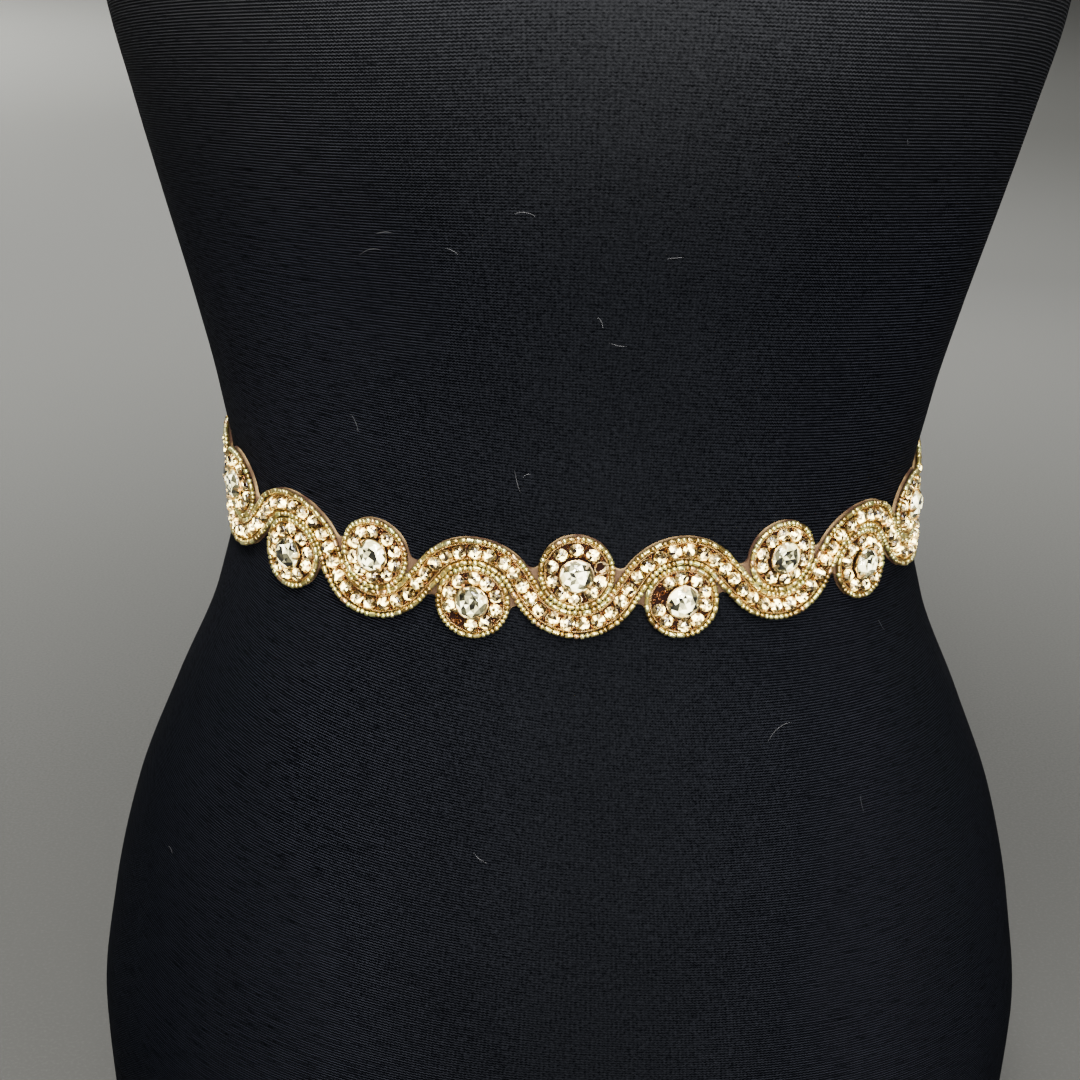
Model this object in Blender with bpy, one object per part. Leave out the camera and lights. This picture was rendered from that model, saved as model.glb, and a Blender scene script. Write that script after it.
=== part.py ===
"""A jewelled bridal sash tied round the waist of a limbless dress form.

The sash is drawn flat first, as its maker lays it out, and then wrapped round the form. On the flat
pattern "along" runs round the waist from the centre front towards +X, "up" is measured from the
sash's middle line, and "out" is the distance from the form's skin. Metres, +Z up, front facing -Y,
with the origin on the floor under the form's middle.
"""

import bmesh
import bpy
import numpy as np

MM = 0.001
FRONT, BACK = -1, 1
SEAM_GAP = 0.3 * MM

# ---- dress form ------------------------------------------------------------------------------
# Half width, front and back depth of the form at each height; square is the exponent of its oval.
FORM_COLUMNS = ("height", "half_width", "front", "back", "square")
FORM_SECTIONS = (
    (0, 170, 95, 107, 2.20),
    (40, 176, 98, 114, 2.20),
    (90, 178, 101, 119, 2.20),
    (135, 172, 101, 118, 2.15),
    (180, 161, 99, 111, 2.10),
    (220, 145, 95, 101, 2.05),
    (260, 128, 89, 90, 2.00),
    (300, 120, 86, 82, 2.00),
    (334, 125, 87, 82, 2.00),
    (366, 132, 91, 87, 2.05),
    (402, 141, 96, 93, 2.10),
    (435, 149, 100, 98, 2.15),
    (466, 156, 102, 101, 2.20),
    (500, 160, 100, 103, 2.20),
    (550, 164, 90, 102, 2.20),
    (600, 168, 75, 96, 2.20),
    (630, 166, 65, 86, 2.20),
    (652, 153, 59, 75, 2.15),
    (672, 122, 55, 66, 2.05),
    (690, 84, 52, 59, 2.00),
    (708, 63, 50, 54, 2.00),
    (740, 58, 48, 52, 2.00),
)
# Rounded mounds, one each side: how far from the middle, how high, how proud, how broad.
MOUND_COLUMNS = ("across", "height", "out", "spread", "side")
FORM_MOUNDS = (
    (78, 470, 25, 44, FRONT),
    (72, 128, 13, 52, BACK),
    (78, 560, 5, 46, BACK),
)
# Spacing of the form's rings from each height up to the next, closest under the sash.
RING_COLUMNS = ("from_height", "spacing")
FORM_RINGS = (
    (0, 32),
    (256, 12),
    (268, 8),
    (334, 12),
    (358, 26),
    (410, 20),
    (530, 34),
    (598, 16),
    (646, 9),
    (709, 16),
)
FORM_TOP = 740 * MM
FORM_SEGMENTS = 48
NECK_CAP_THICK = 7 * MM
NECK_CAP_INSET = 3 * MM

# ---- how the sash sits -----------------------------------------------------------------------
SASH_HEIGHT = 300 * MM
FRONT_DROP = 10 * MM
SIDE_TILT = -1 * MM
SKIN_GAP = 0.3 * MM

# ---- the jewelled pattern --------------------------------------------------------------------
ROSETTE_RADIUS = 12.0 * MM
BAND_HALF_WIDTH = 4.6 * MM
BAND_RADIUS = ROSETTE_RADIUS + SEAM_GAP + BAND_HALF_WIDTH
CLOTH_MARGIN = 0.25 * MM
WEB_RADIUS = 2.2 * MM
END_HEADING = np.radians(100)
# Centre of each rosette as sewn, and how far it is stretched away from the band. The band runs
# under one that is ABOVE it and over one BELOW it.
ABOVE, BELOW = 1, -1
ROSETTE_COLUMNS = ("along", "up", "side", "stretch")
ROSETTES = (
    (-168.6, -4.6, BELOW, 0.0),
    (-134.4, 7.0, ABOVE, 0.0),
    (-100.6, -5.1, BELOW, 0.0),
    (-67.4, 4.0, ABOVE, 0.0),
    (-33.4, -6.2, BELOW, 0.2),
    (-0.9, 5.4, ABOVE, 1.1),
    (32.8, -4.2, BELOW, 0.7),
    (67.7, 6.4, ABOVE, 0.0),
    (101.5, -4.5, BELOW, 0.0),
    (135.0, 4.8, ABOVE, 0.0),
    (169.0, -5.2, BELOW, 0.0),
)

BACKING_THICK = 1.2 * MM
BACKING_STATIONS = 172
BACKING_ROWS = 4
TAB_LENGTH = 9 * MM
TAB_HALF_HEIGHT = 11 * MM

BEAD_ROW_OFFSET = 3.75 * MM
BEAD_ROW_STEP = 4 * MM
# Half of a bead row's cross-section, from its foot to its top: how far from its line, how high.
BEAD_ROW_PROFILE = ((0.85 * MM, 0.0), (0.45 * MM, 1.6 * MM))

STONE_SPACING = 4.85 * MM
STONE_FOOT = 2.3 * MM
STONE_TABLE = 1.5 * MM
STONE_HEIGHT = 2.6 * MM
VALLEY_HALF = 1.9 * MM
VALLEY_HEIGHT = 0.9 * MM
TABLE_SHARE = 0.3

RING_STONES = 10
# The rosette from its middle outwards: radius, height at a stone, height between two stones.
ROSETTE_RING_COLUMNS = ("radius", "at_stone", "between")
ROSETTE_RINGS = (
    (5.5, 0.8, 0.8),
    (6.1, 2.6, 1.0),
    (9.3, 2.6, 1.0),
    (10.0, 0.9, 0.9),
    (11.1, 1.9, 1.9),
    (12.0, 0.6, 0.6),
)
ROSETTE_INNER_FOOT = 6 * MM

CRYSTAL_SIDES = 16
# The centre crystal in its cup, from its foot up: radius and height.
CRYSTAL_PROFILE = ((4.9, 0.0), (5.6, 1.6), (3.3, 3.7))

# ---- ribbon ties -----------------------------------------------------------------------------
RIBBON_HALF_WIDTH = 11 * MM
RIBBON_THICK = 1.0 * MM
RIBBON_STEP = 7 * MM
RIBBON_ROWS = 5
GATHER_LENGTH = 38 * MM
GATHER_HALF_WIDTH = 6.5 * MM
FOLD_HEIGHT = 1.4 * MM
KNOT_HALF_WIDTH = 8 * MM
KNOT_HALF_HEIGHT = 9.5 * MM
KNOT_SIDES = 16
# The knot from the form outwards: share of its half width and height, and distance out.
KNOT_COLUMNS = ("share", "out")
KNOT_RINGS = ((0.86, 0.3), (1.00, 2.6), (0.98, 5.6), (0.80, 8.4), (0.42, 9.8))
TAIL_STEP = 13 * MM
TAIL_TOP_HALF_WIDTH = 3.8 * MM
TAIL_SPREAD_LENGTH = 55 * MM
TAIL_ARCH = 1.6 * MM
# Each hanging tail: its side, how far its line starts and ends from the middle, its drop, and the
# slant of its cut end.
TAIL_COLUMNS = ("side", "start", "end", "drop", "slant")
TAILS = {
    "tail_left": (-1, 4.4, 27.0, 214.0, 9.0),
    "tail_right": (1, 4.4, 33.0, 232.0, -9.0),
}

# Name: colour, roughness, metallic.
FINISHES = {
    "black_jersey": ((0.012, 0.013, 0.017), 0.85, 0.0),
    "black_cap": ((0.02, 0.02, 0.022), 0.45, 0.0),
    "rose_backing": ((0.52, 0.36, 0.28), 0.8, 0.0),
    "gold_beads": ((0.80, 0.62, 0.32), 0.25, 0.9),
    "clear_stone": ((0.86, 0.86, 0.82), 0.08, 0.1),
    "blush_satin": ((0.80, 0.62, 0.54), 0.4, 0.0),
}


def column(table, columns, name):
    """One named column of a table as an array."""
    return np.array([row[columns.index(name)] for row in table], float)


# ---- meshes ----------------------------------------------------------------------------------
def finish_material(piece, finish):
    """A material of the piece's own in the named finish."""
    colour, roughness, metallic = FINISHES[finish]
    material = bpy.data.materials.new(piece)
    material.use_nodes = True
    shader = material.node_tree.nodes["Principled BSDF"]
    shader.inputs["Base Color"].default_value = (*colour, 1)
    shader.inputs["Roughness"].default_value = roughness
    shader.inputs["Metallic"].default_value = metallic
    return material


def skin(name, rings, finish, poles=None):
    """A closed solid over a stack of rings of equal point count, with a fan at each end.

    poles gives the first and last fan's middle; without it each is the middle of its end ring.
    """
    rings = np.asarray(rings, float)
    count, size = rings.shape[:2]
    first, last = poles if poles is not None else (rings[0].mean(0), rings[-1].mean(0))
    points = np.vstack([rings.reshape(-1, 3), [first, last]])
    faces = []
    for ring in range(count - 1):
        for i in range(size):
            j = (i + 1) % size
            low, high = ring * size, (ring + 1) * size
            faces.append((low + i, low + j, high + j, high + i))
    foot, top = count * size, count * size + 1
    for i in range(size):
        j = (i + 1) % size
        faces.append((foot, j, i))
        faces.append((top, foot - size + i, foot - size + j))
    mesh = bpy.data.meshes.new(name)
    mesh.from_pydata(points.tolist(), [], faces)
    solid = bmesh.new()
    solid.from_mesh(mesh)
    bmesh.ops.recalc_face_normals(solid, faces=solid.faces)
    solid.to_mesh(mesh)
    solid.free()
    mesh.shade_smooth()
    mesh.set_sharp_from_angle(angle=np.radians(35))
    mesh.materials.append(finish_material(name, finish))
    piece = bpy.data.objects.new(name, mesh)
    bpy.context.scene.collection.objects.link(piece)
    return piece


# ---- the form's skin -------------------------------------------------------------------------
def smooth_column(height, name):
    """A column of the form's sections at any height: a monotone cubic through the table's rows."""
    knots = column(FORM_SECTIONS, FORM_COLUMNS, "height") * MM
    values = column(FORM_SECTIONS, FORM_COLUMNS, name)
    step = np.diff(knots)
    rise = np.diff(values) / step
    slope = np.zeros_like(values)
    ahead, behind = 2 * step[1:] + step[:-1], step[1:] + 2 * step[:-1]
    turning = rise[:-1] * rise[1:] <= 0
    safe = np.where(turning[:, None], 1.0, np.stack([rise[:-1], rise[1:]], -1))
    slope[1:-1] = np.where(turning, 0, (ahead + behind) / (ahead / safe[:, 0] + behind / safe[:, 1]))
    slope[0], slope[-1] = rise[0], rise[-1]
    at = np.clip(np.searchsorted(knots, height) - 1, 0, len(step) - 1)
    part = (height - knots[at]) / step[at]
    return (
        (1 + 2 * part) * (1 - part) ** 2 * values[at]
        + part * (1 - part) ** 2 * step[at] * slope[at]
        + part**2 * (3 - 2 * part) * values[at + 1]
        + part**2 * (part - 1) * step[at] * slope[at + 1]
    )


def mound_depth(x, height, side):
    """How far the mounds of one side push the skin out at this place."""
    depth = np.zeros(np.broadcast(x, height).shape)
    for across, middle, out, spread, where in FORM_MOUNDS:
        if where != side:
            continue
        for centre in (-across * MM, across * MM):
            distance2 = (x - centre) ** 2 + (height - middle * MM) ** 2
            depth = depth + out * MM * np.exp(-distance2 / (2 * (spread * MM) ** 2))
    return depth


def form_skin(angle, height):
    """The form's skin: an oval at each height plus its mounds. angle 0 is the centre front."""
    angle, height = np.broadcast_arrays(np.asarray(angle, float), np.asarray(height, float))
    half_width, front, back = (
        smooth_column(height, name) * MM for name in ("half_width", "front", "back")
    )
    power = 2 / smooth_column(height, "square")
    sine, cosine = np.sin(angle), np.cos(angle)
    x = half_width * np.sign(sine) * np.abs(sine) ** power
    oval = np.abs(cosine) ** power
    fade = np.abs(cosine)
    ahead = -(front * oval + fade * mound_depth(x, height, FRONT))
    behind = back * oval + fade * mound_depth(x, height, BACK)
    return np.stack([x, np.where(cosine > 0, ahead, behind), height], -1)


def form_normal(angle, height):
    """The unit normal of the form's skin, from its slopes round and up."""
    turn, rise = 1e-3, 0.5 * MM
    around = form_skin(angle + turn, height) - form_skin(angle - turn, height)
    upward = form_skin(angle, height + rise) - form_skin(angle, height - rise)
    normal = np.cross(around, upward)
    return normal / np.linalg.norm(normal, axis=-1, keepdims=True)


def back_depth(x, height):
    """The y of the form's back at this x and height."""
    half_width = smooth_column(height, "half_width") * MM
    square = smooth_column(height, "square")
    sine = np.clip(np.abs(x) / half_width, 0, 1) ** (square / 2)
    cosine = np.sqrt(1 - sine**2)
    oval = smooth_column(height, "back") * MM * cosine ** (2 / square)
    return oval + cosine * mound_depth(x, height, BACK)


def make_form():
    """The torso, closed flat at the floor and at the neck."""
    starts = list(column(FORM_RINGS, RING_COLUMNS, "from_height") * MM)
    spacings = column(FORM_RINGS, RING_COLUMNS, "spacing") * MM
    heights = [FORM_TOP]
    for start, end, spacing in zip(starts, starts[1:] + [FORM_TOP], spacings):
        pieces = max(1, round((end - start) / spacing))
        heights.extend(np.linspace(start, end, pieces, endpoint=False))
    angles = np.linspace(0, 2 * np.pi, FORM_SEGMENTS, endpoint=False)
    rings = [form_skin(angles, height) for height in sorted(heights)]
    skin("form", rings, "black_jersey")


def make_neck_cap():
    """The plain disc that closes the neck, just above the jersey."""
    angles = np.linspace(0, 2 * np.pi, FORM_SEGMENTS // 2, endpoint=False)
    rim = form_skin(angles, FORM_TOP)
    middle = rim.mean(0)
    reach = np.linalg.norm(rim - middle, axis=1).mean()
    rings = []
    profile = ((0.0, 0.0), (0.0, 0.75), (0.25, 1.0))
    for inset, rise in profile:
        shrink = 1 - (NECK_CAP_INSET + inset * NECK_CAP_THICK) / reach
        ring = middle + (rim - middle) * shrink
        ring[:, 2] = FORM_TOP + SEAM_GAP + rise * NECK_CAP_THICK
        rings.append(ring)
    skin("neck_cap", rings, "black_cap")


# ---- wrapping the flat pattern ---------------------------------------------------------------
def middle_height(angle):
    """The height of the sash's middle line: it drops at the front and rises at the back."""
    return SASH_HEIGHT - FRONT_DROP * np.cos(angle) + SIDE_TILT * np.sin(angle)


def waist_line(samples=2881):
    """Angles round the form and the length along the sash's middle line, from the centre front."""
    angles = np.linspace(-np.pi, np.pi, samples)
    line = form_skin(angles, middle_height(angles))
    lengths = np.concatenate([[0], np.cumsum(np.linalg.norm(np.diff(line, axis=0), axis=1))])
    return angles, lengths - lengths[samples // 2]


WAIST_ANGLES, WAIST_LENGTHS = waist_line()
HALF_ROUND = {-1: -WAIST_LENGTHS[0], 1: WAIST_LENGTHS[-1]}


def wrap(along, up, out):
    """Flat pattern to world: round the waist by along, up by up, and out along the skin's normal."""
    along, up, out = np.broadcast_arrays(*(np.asarray(v, float) for v in (along, up, out)))
    angle = np.interp(along, WAIST_LENGTHS, WAIST_ANGLES)
    height = middle_height(angle) + up
    return form_skin(angle, height) + out[..., None] * form_normal(angle, height)


def smooth_step(value, start, end):
    """0 before start, 1 after end, and a smooth rise between them."""
    part = np.clip((np.asarray(value) - start) / (end - start), 0, 1)
    return part * part * (3 - 2 * part)


# ---- the jewelled pattern, flat --------------------------------------------------------------
ROSETTE_CENTRES = np.stack(
    [column(ROSETTES, ROSETTE_COLUMNS, name) * MM for name in ("along", "up")], -1
)
ROSETTE_SIDES = column(ROSETTES, ROSETTE_COLUMNS, "side")
ROSETTE_STRETCHES = column(ROSETTES, ROSETTE_COLUMNS, "stretch") * MM
TAB_START = ROSETTE_CENTRES[:, 0] + np.sign(ROSETTE_CENTRES[:, 0]) * (BAND_RADIUS + BAND_HALF_WIDTH)
BACKING_START, BACKING_END = TAB_START[0] - TAB_LENGTH, TAB_START[-1] + TAB_LENGTH


def band_point(centre, side, heading):
    """Where the band touches its circle round a rosette when it runs in this direction."""
    return centre + BAND_RADIUS * side * np.array([np.sin(heading), -np.cos(heading)])


def band_headings():
    """The direction of the straight run from each rosette's circle to the next one's."""
    gaps = np.diff(ROSETTE_CENTRES, axis=0)
    tilt = np.arctan2(gaps[:, 1], gaps[:, 0])
    turn = np.arcsin(2 * BAND_RADIUS / np.linalg.norm(gaps, axis=1))
    return tilt + ROSETTE_SIDES[:-1] * turn


def band_line(step):
    """The band's centre line: an arc round each rosette joined by straight runs, evenly spaced.

    Returns the points and the unit normals that point up from the line.
    """
    between = band_headings()
    arrive = np.concatenate([[END_HEADING], between])
    leave = np.concatenate([between, [-END_HEADING]])
    line = []
    for centre, side, start, end in zip(ROSETTE_CENTRES, ROSETTE_SIDES, arrive, leave):
        for heading in np.linspace(start, end, 48):
            line.append(band_point(centre, side, heading))
    line = np.array(line)
    length = np.concatenate([[0], np.cumsum(np.linalg.norm(np.diff(line, axis=0), axis=1))])
    even = np.linspace(0, length[-1], round(length[-1] / step) + 1)
    points = np.stack([np.interp(even, length, line[:, k]) for k in (0, 1)], -1)
    ahead = np.gradient(points, axis=0)
    ahead /= np.linalg.norm(ahead, axis=1, keepdims=True)
    return points, np.stack([-ahead[:, 1], ahead[:, 0]], -1)


def disc_top(along, centre_along, centre_up, radius):
    """The highest edge, at each along, of discs of one radius."""
    reach = radius**2 - (along[:, None] - centre_along[None, :]) ** 2
    edge = centre_up[None, :] + np.sqrt(np.maximum(reach, 0))
    return np.where(reach > 0, edge, -np.inf).max(1)


def rolled(along, top, radius):
    """The outline filled in as far as a wheel of this radius can roll along it from above."""
    gap2 = radius**2 - (along[:, None] - along[None, :]) ** 2
    wheel = np.where(gap2 > 0, np.sqrt(np.maximum(gap2, 0)), -np.inf)
    lifted = (top[None, :] + wheel).max(1)
    return (lifted[None, :] - wheel).min(1)


def backing_outline(along, sign):
    """The cloth's upper (sign 1) or lower (sign -1) edge: round band, rosettes and end tabs, with
    a web of cloth left in each crook."""
    fine = np.linspace(BACKING_START, BACKING_END, 1201)
    line, _ = band_line(0.5 * MM)
    band = disc_top(fine, line[:, 0], sign * line[:, 1], BAND_HALF_WIDTH + CLOTH_MARGIN)
    stretched = ROSETTE_CENTRES[:, 1] + ROSETTE_SIDES * ROSETTE_STRETCHES
    rosettes = np.maximum(
        *(
            disc_top(fine, ROSETTE_CENTRES[:, 0], sign * up, ROSETTE_RADIUS + CLOTH_MARGIN)
            for up in (ROSETTE_CENTRES[:, 1], stretched)
        )
    )
    in_tab = (fine < TAB_START[0] + TAB_LENGTH) | (fine > TAB_START[-1] - TAB_LENGTH)
    tab = np.where(in_tab, TAB_HALF_HEIGHT, -np.inf)
    edge = rolled(fine, np.maximum(np.maximum(band, rosettes), tab), WEB_RADIUS)
    return sign * np.interp(along, fine, edge)


def end_lift(along):
    """How far the jewelled cloth rises at its ends to pass over the ribbon sewn under it."""
    start, end = TAB_START[-1] - 12 * MM, TAB_START[-1] - 2 * MM
    return (RIBBON_THICK + SEAM_GAP) * smooth_step(np.abs(along), start, end)


def wrap_on_cloth(along, up, height):
    """Wraps a point of the beadwork, at a height above the jewelled cloth's face."""
    base = SKIN_GAP + BACKING_THICK + SEAM_GAP
    return wrap(along, up, base + end_lift(along) + height)


def backing_stations():
    """Places along the cloth for its sections, closer together where either edge is steep."""
    fine = np.linspace(BACKING_START, BACKING_END, 1201)
    edges = np.stack([fine, backing_outline(fine, -1), backing_outline(fine, 1)], -1)
    travel = np.concatenate([[0], np.cumsum(np.linalg.norm(np.diff(edges, axis=0), axis=1))])
    return np.interp(np.linspace(0, travel[-1], BACKING_STATIONS), travel, fine)


def make_backing():
    """The cloth that everything is sewn to, one wall cut to the outline with its webs."""
    along = backing_stations()
    low, high = backing_outline(along, -1), backing_outline(along, 1)
    share = np.linspace(0, 1, BACKING_ROWS)
    up = low[:, None] + (high - low)[:, None] * share
    inner = SKIN_GAP + end_lift(along)[:, None] + 0 * share
    face = wrap(along[:, None], up, inner + BACKING_THICK)
    back = wrap(along[:, None], up, inner)
    skin("backing", np.concatenate([face, back[:, ::-1]], axis=1), "rose_backing")


def make_bead_row(name, offset):
    """One half-round row of beads along the band, at an offset from its centre line."""
    points, normals = band_line(BEAD_ROW_STEP)
    profile = [(-across, height) for across, height in BEAD_ROW_PROFILE]
    profile += [(across, height) for across, height in reversed(BEAD_ROW_PROFILE)]
    rings = []
    for across, height in profile:
        place = points + normals * (offset + across)
        rings.append(wrap_on_cloth(place[:, 0], place[:, 1], height))
    skin(name, np.stack(rings, axis=1), "gold_beads")


def make_stone_chain():
    """The row of small stones down the band: each is a block with a flat table, low between."""
    count = round(len(band_line(1 * MM)[0]) * MM / STONE_SPACING)
    points, normals = band_line(0.1 * MM)
    share = np.linspace(0, 1, len(points))
    low = ((STONE_FOOT, 0.0), (VALLEY_HALF, VALLEY_HEIGHT))
    high = ((STONE_FOOT, 0.0), (STONE_TABLE, STONE_HEIGHT))
    stations = []
    for stone in range(count):
        stations.append((stone, low))
        stations.append((stone + 0.5 - TABLE_SHARE, high))
        stations.append((stone + 0.5 + TABLE_SHARE, high))
    stations.append((count, low))
    rings = []
    for place, (foot, crest) in stations:
        at = np.array([np.interp(place / count, share, points[:, k]) for k in (0, 1)])
        normal = np.array([np.interp(place / count, share, normals[:, k]) for k in (0, 1)])
        across = np.array([-foot[0], -crest[0], crest[0], foot[0]])
        height = np.array([foot[1], crest[1], crest[1], foot[1]])
        spot = at + across[:, None] * normal
        rings.append(wrap_on_cloth(spot[:, 0], spot[:, 1], height))
    skin("stone_chain", rings, "clear_stone")


def make_rosette(name, centre, side, stretch):
    """A rosette's bed: a plate with its ring of stones raised on it and its beaded rim."""
    segments = 2 * RING_STONES
    angles = np.linspace(0, 2 * np.pi, segments, endpoint=False)
    at_stone = np.arange(segments) % 2 == 0
    away = np.maximum(0, side * np.sin(angles))

    def ring(radius, height):
        reach = radius + stretch * away * radius / ROSETTE_RADIUS
        spot = centre + reach[:, None] * np.stack([np.cos(angles), np.sin(angles)], -1)
        return wrap_on_cloth(spot[:, 0], spot[:, 1], height)

    rings = [ring(ROSETTE_INNER_FOOT, 0), ring(ROSETTE_RADIUS, 0)]
    for radius, stone, between in reversed(ROSETTE_RINGS):
        rings.append(ring(radius * MM, np.where(at_stone, stone, between) * MM))
    plate = ROSETTE_RINGS[0][1] * MM
    poles = [wrap_on_cloth(*centre, height) for height in (0, plate)]
    skin(name, rings, "gold_beads", poles)


def make_crystal(name, centre):
    """The round centre crystal in its cup: rigid, so it stands square to the cloth under it."""
    plate = ROSETTE_RINGS[0][1] * MM
    foot = wrap_on_cloth(*centre, plate + SEAM_GAP)
    out = wrap_on_cloth(*centre, plate + 2 * SEAM_GAP) - foot
    out /= np.linalg.norm(out)
    right = np.cross([0, 0, 1], out)
    right /= np.linalg.norm(right)
    upward = np.cross(out, right)
    angles = np.linspace(0, 2 * np.pi, CRYSTAL_SIDES, endpoint=False)
    round_it = np.cos(angles)[:, None] * right + np.sin(angles)[:, None] * upward
    rings = [foot + radius * MM * round_it + height * MM * out for radius, height in CRYSTAL_PROFILE]
    skin(name, rings, "clear_stone")


# ---- ribbon ties -----------------------------------------------------------------------------
def fold_wave(share, folds=2):
    """Soft folds across a gathered ribbon: 0 at its edges, raised between them."""
    return np.sin(np.pi * share * folds) ** 2


def make_ribbon(name, side):
    """The ribbon from under the jewelled cloth's end, round the back, gathered into the knot."""
    start = abs(TAB_START[-1] if side > 0 else TAB_START[0]) + SEAM_GAP
    end = HALF_ROUND[side] - KNOT_HALF_WIDTH - SEAM_GAP
    run = np.linspace(start, end, round((end - start) / RIBBON_STEP) + 1)
    gather = smooth_step(run, end - GATHER_LENGTH, end)
    half = RIBBON_HALF_WIDTH + (GATHER_HALF_WIDTH - RIBBON_HALF_WIDTH) * gather
    share = np.linspace(0, 1, RIBBON_ROWS)
    up = half[:, None] * (2 * share - 1)
    inner = SKIN_GAP + FOLD_HEIGHT * gather[:, None] * fold_wave(share)
    face = wrap(side * run[:, None], up, inner + RIBBON_THICK)
    back = wrap(side * run[:, None], up, inner)
    skin(name, np.concatenate([face, back[:, ::-1]], axis=1), "blush_satin")


def make_knot():
    """The tied knot at the centre back: a rounded wrap of ribbon."""
    angles = np.linspace(0, 2 * np.pi, KNOT_SIDES, endpoint=False)
    across = np.sign(np.cos(angles)) * np.abs(np.cos(angles)) ** 0.7
    upward = np.sign(np.sin(angles)) * np.abs(np.sin(angles)) ** 0.7
    rings = []
    for share, out in KNOT_RINGS:
        place = across * KNOT_HALF_WIDTH * share
        along = np.where(place < 0, HALF_ROUND[1] + place, place - HALF_ROUND[-1])
        rings.append(wrap(along, upward * KNOT_HALF_HEIGHT * share, out * MM))
    skin("knot", rings, "blush_satin")


def make_tail(name, side, start, end, drop, slant):
    """A ribbon end that slides down the form's back and hangs straight from where it swells most."""
    top = middle_height(np.pi) - KNOT_HALF_HEIGHT - SEAM_GAP
    share = np.linspace(0, 1, RIBBON_ROWS)
    down = np.linspace(0, 1, round(drop * MM / TAIL_STEP) + 1)
    fall = down[:, None] * (drop * MM + slant * MM * (2 * share - 1))
    spread = smooth_step(fall, 0, TAIL_SPREAD_LENGTH)
    half = TAIL_TOP_HALF_WIDTH + (RIBBON_HALF_WIDTH - TAIL_TOP_HALF_WIDTH) * spread
    line = start * MM + (end - start) * MM * smooth_step(down[:, None], 0, 1)
    clear = np.maximum(line, half + SEAM_GAP)
    x = side * clear + half * (2 * share - 1)
    height = top - fall
    depth = np.maximum.accumulate(back_depth(x, height), axis=0)
    arch = TAIL_ARCH * spread * np.sin(np.pi * share) ** 2
    inner = np.stack([x, depth + 2 * SKIN_GAP + arch, height], -1)
    outer = inner + np.array([0, RIBBON_THICK, 0])
    skin(name, np.concatenate([outer, inner[:, ::-1]], axis=1), "blush_satin")


def main():
    """Clears the scene and builds every piece."""
    for thing in list(bpy.data.objects):
        bpy.data.objects.remove(thing)
    make_form()
    make_neck_cap()
    make_backing()
    make_bead_row("bead_row_upper", BEAD_ROW_OFFSET)
    make_bead_row("bead_row_lower", -BEAD_ROW_OFFSET)
    make_stone_chain()
    rosettes = zip(ROSETTE_CENTRES, ROSETTE_SIDES, ROSETTE_STRETCHES)
    for number, (centre, side, stretch) in enumerate(rosettes, start=1):
        make_rosette(f"rosette_{number:02d}", centre, side, stretch)
        make_crystal(f"crystal_{number:02d}", centre)
    make_ribbon("ribbon_left", -1)
    make_ribbon("ribbon_right", 1)
    make_knot()
    for name, sizes in TAILS.items():
        make_tail(name, *sizes)


main()
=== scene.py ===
import logging
from collections.abc import Callable, Iterable
from dataclasses import dataclass
from enum import Enum
from functools import cache, cached_property

import bpy
import numpy as np
from mathutils import Matrix, Vector


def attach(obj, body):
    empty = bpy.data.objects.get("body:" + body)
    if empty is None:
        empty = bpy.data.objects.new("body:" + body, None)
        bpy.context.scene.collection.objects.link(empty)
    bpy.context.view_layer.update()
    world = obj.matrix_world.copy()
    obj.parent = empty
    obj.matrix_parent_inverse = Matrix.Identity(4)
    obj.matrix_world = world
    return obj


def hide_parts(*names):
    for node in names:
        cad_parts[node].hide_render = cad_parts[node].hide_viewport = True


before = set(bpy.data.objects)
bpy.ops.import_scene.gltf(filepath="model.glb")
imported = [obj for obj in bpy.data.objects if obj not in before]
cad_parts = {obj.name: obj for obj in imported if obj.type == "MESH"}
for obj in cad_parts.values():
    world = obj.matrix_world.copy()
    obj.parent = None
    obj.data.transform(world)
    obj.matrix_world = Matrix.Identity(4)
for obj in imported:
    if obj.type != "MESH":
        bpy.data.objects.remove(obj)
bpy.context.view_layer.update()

Array = np.ndarray
Draws = np.random.Generator
Colour = tuple[float, float, float]
Point = tuple[float, float, float]
Rows = tuple[tuple[float, ...], ...]
Pair = tuple[float, float]
Piece = bpy.types.Object
Socket = bpy.types.NodeSocket
Feeds = dict[str | int, object]

MM = 0.001
ROOT = "root"
LOG = logging.getLogger("sash")


class Facing(Enum):
    """The front or the back of the form."""

    FRONT = "front"
    BACK = "back"


class Hand(Enum):
    """The form's left or right as seen from its front; the value is the sign of x."""

    LEFT = -1
    RIGHT = 1


class Bank(Enum):
    """Whether a rosette lies above or below the band; the value is the sign of up."""

    BELOW = -1
    ABOVE = 1


# ---- shader graphs
def operator(operation: str, swapped: bool = False) -> "Callable[[Wire, object], Wire]":
    """A method of Wire that adds a Math node, with its two values swapped if it is reflected."""

    def act(wire: "Wire", other: object) -> "Wire":
        """The node's value."""
        return wire.graph.math(operation, *((other, wire) if swapped else (wire, other)))

    return act


class Wire:
    """A number travelling through a shader graph, with Python's arithmetic."""

    def __init__(self, graph: "ShaderGraph", socket: Socket) -> None:
        """Wraps one output socket of a graph."""
        self.graph, self.socket = graph, socket

    __add__ = __radd__ = operator("ADD")
    __mul__ = __rmul__ = operator("MULTIPLY")
    __pow__ = operator("POWER")
    __sub__, __rsub__ = operator("SUBTRACT"), operator("SUBTRACT", True)
    __truediv__, __rtruediv__ = operator("DIVIDE"), operator("DIVIDE", True)

    def math(self, operation: str, *others: object) -> "Wire":
        """One Math node with this value first and the others after it."""
        return self.graph.math(operation, self, *others)

    def wave(self, period: float) -> "Wire":
        """A cosine ridge from 0 to 1 that repeats every period."""
        return (self * (2 * np.pi / period)).math("COSINE") * 0.5 + 0.5

    def clamp(self) -> "Wire":
        """The value held between 0 and 1."""
        return self.math("MAXIMUM", 0.0).math("MINIMUM", 1.0)


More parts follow.
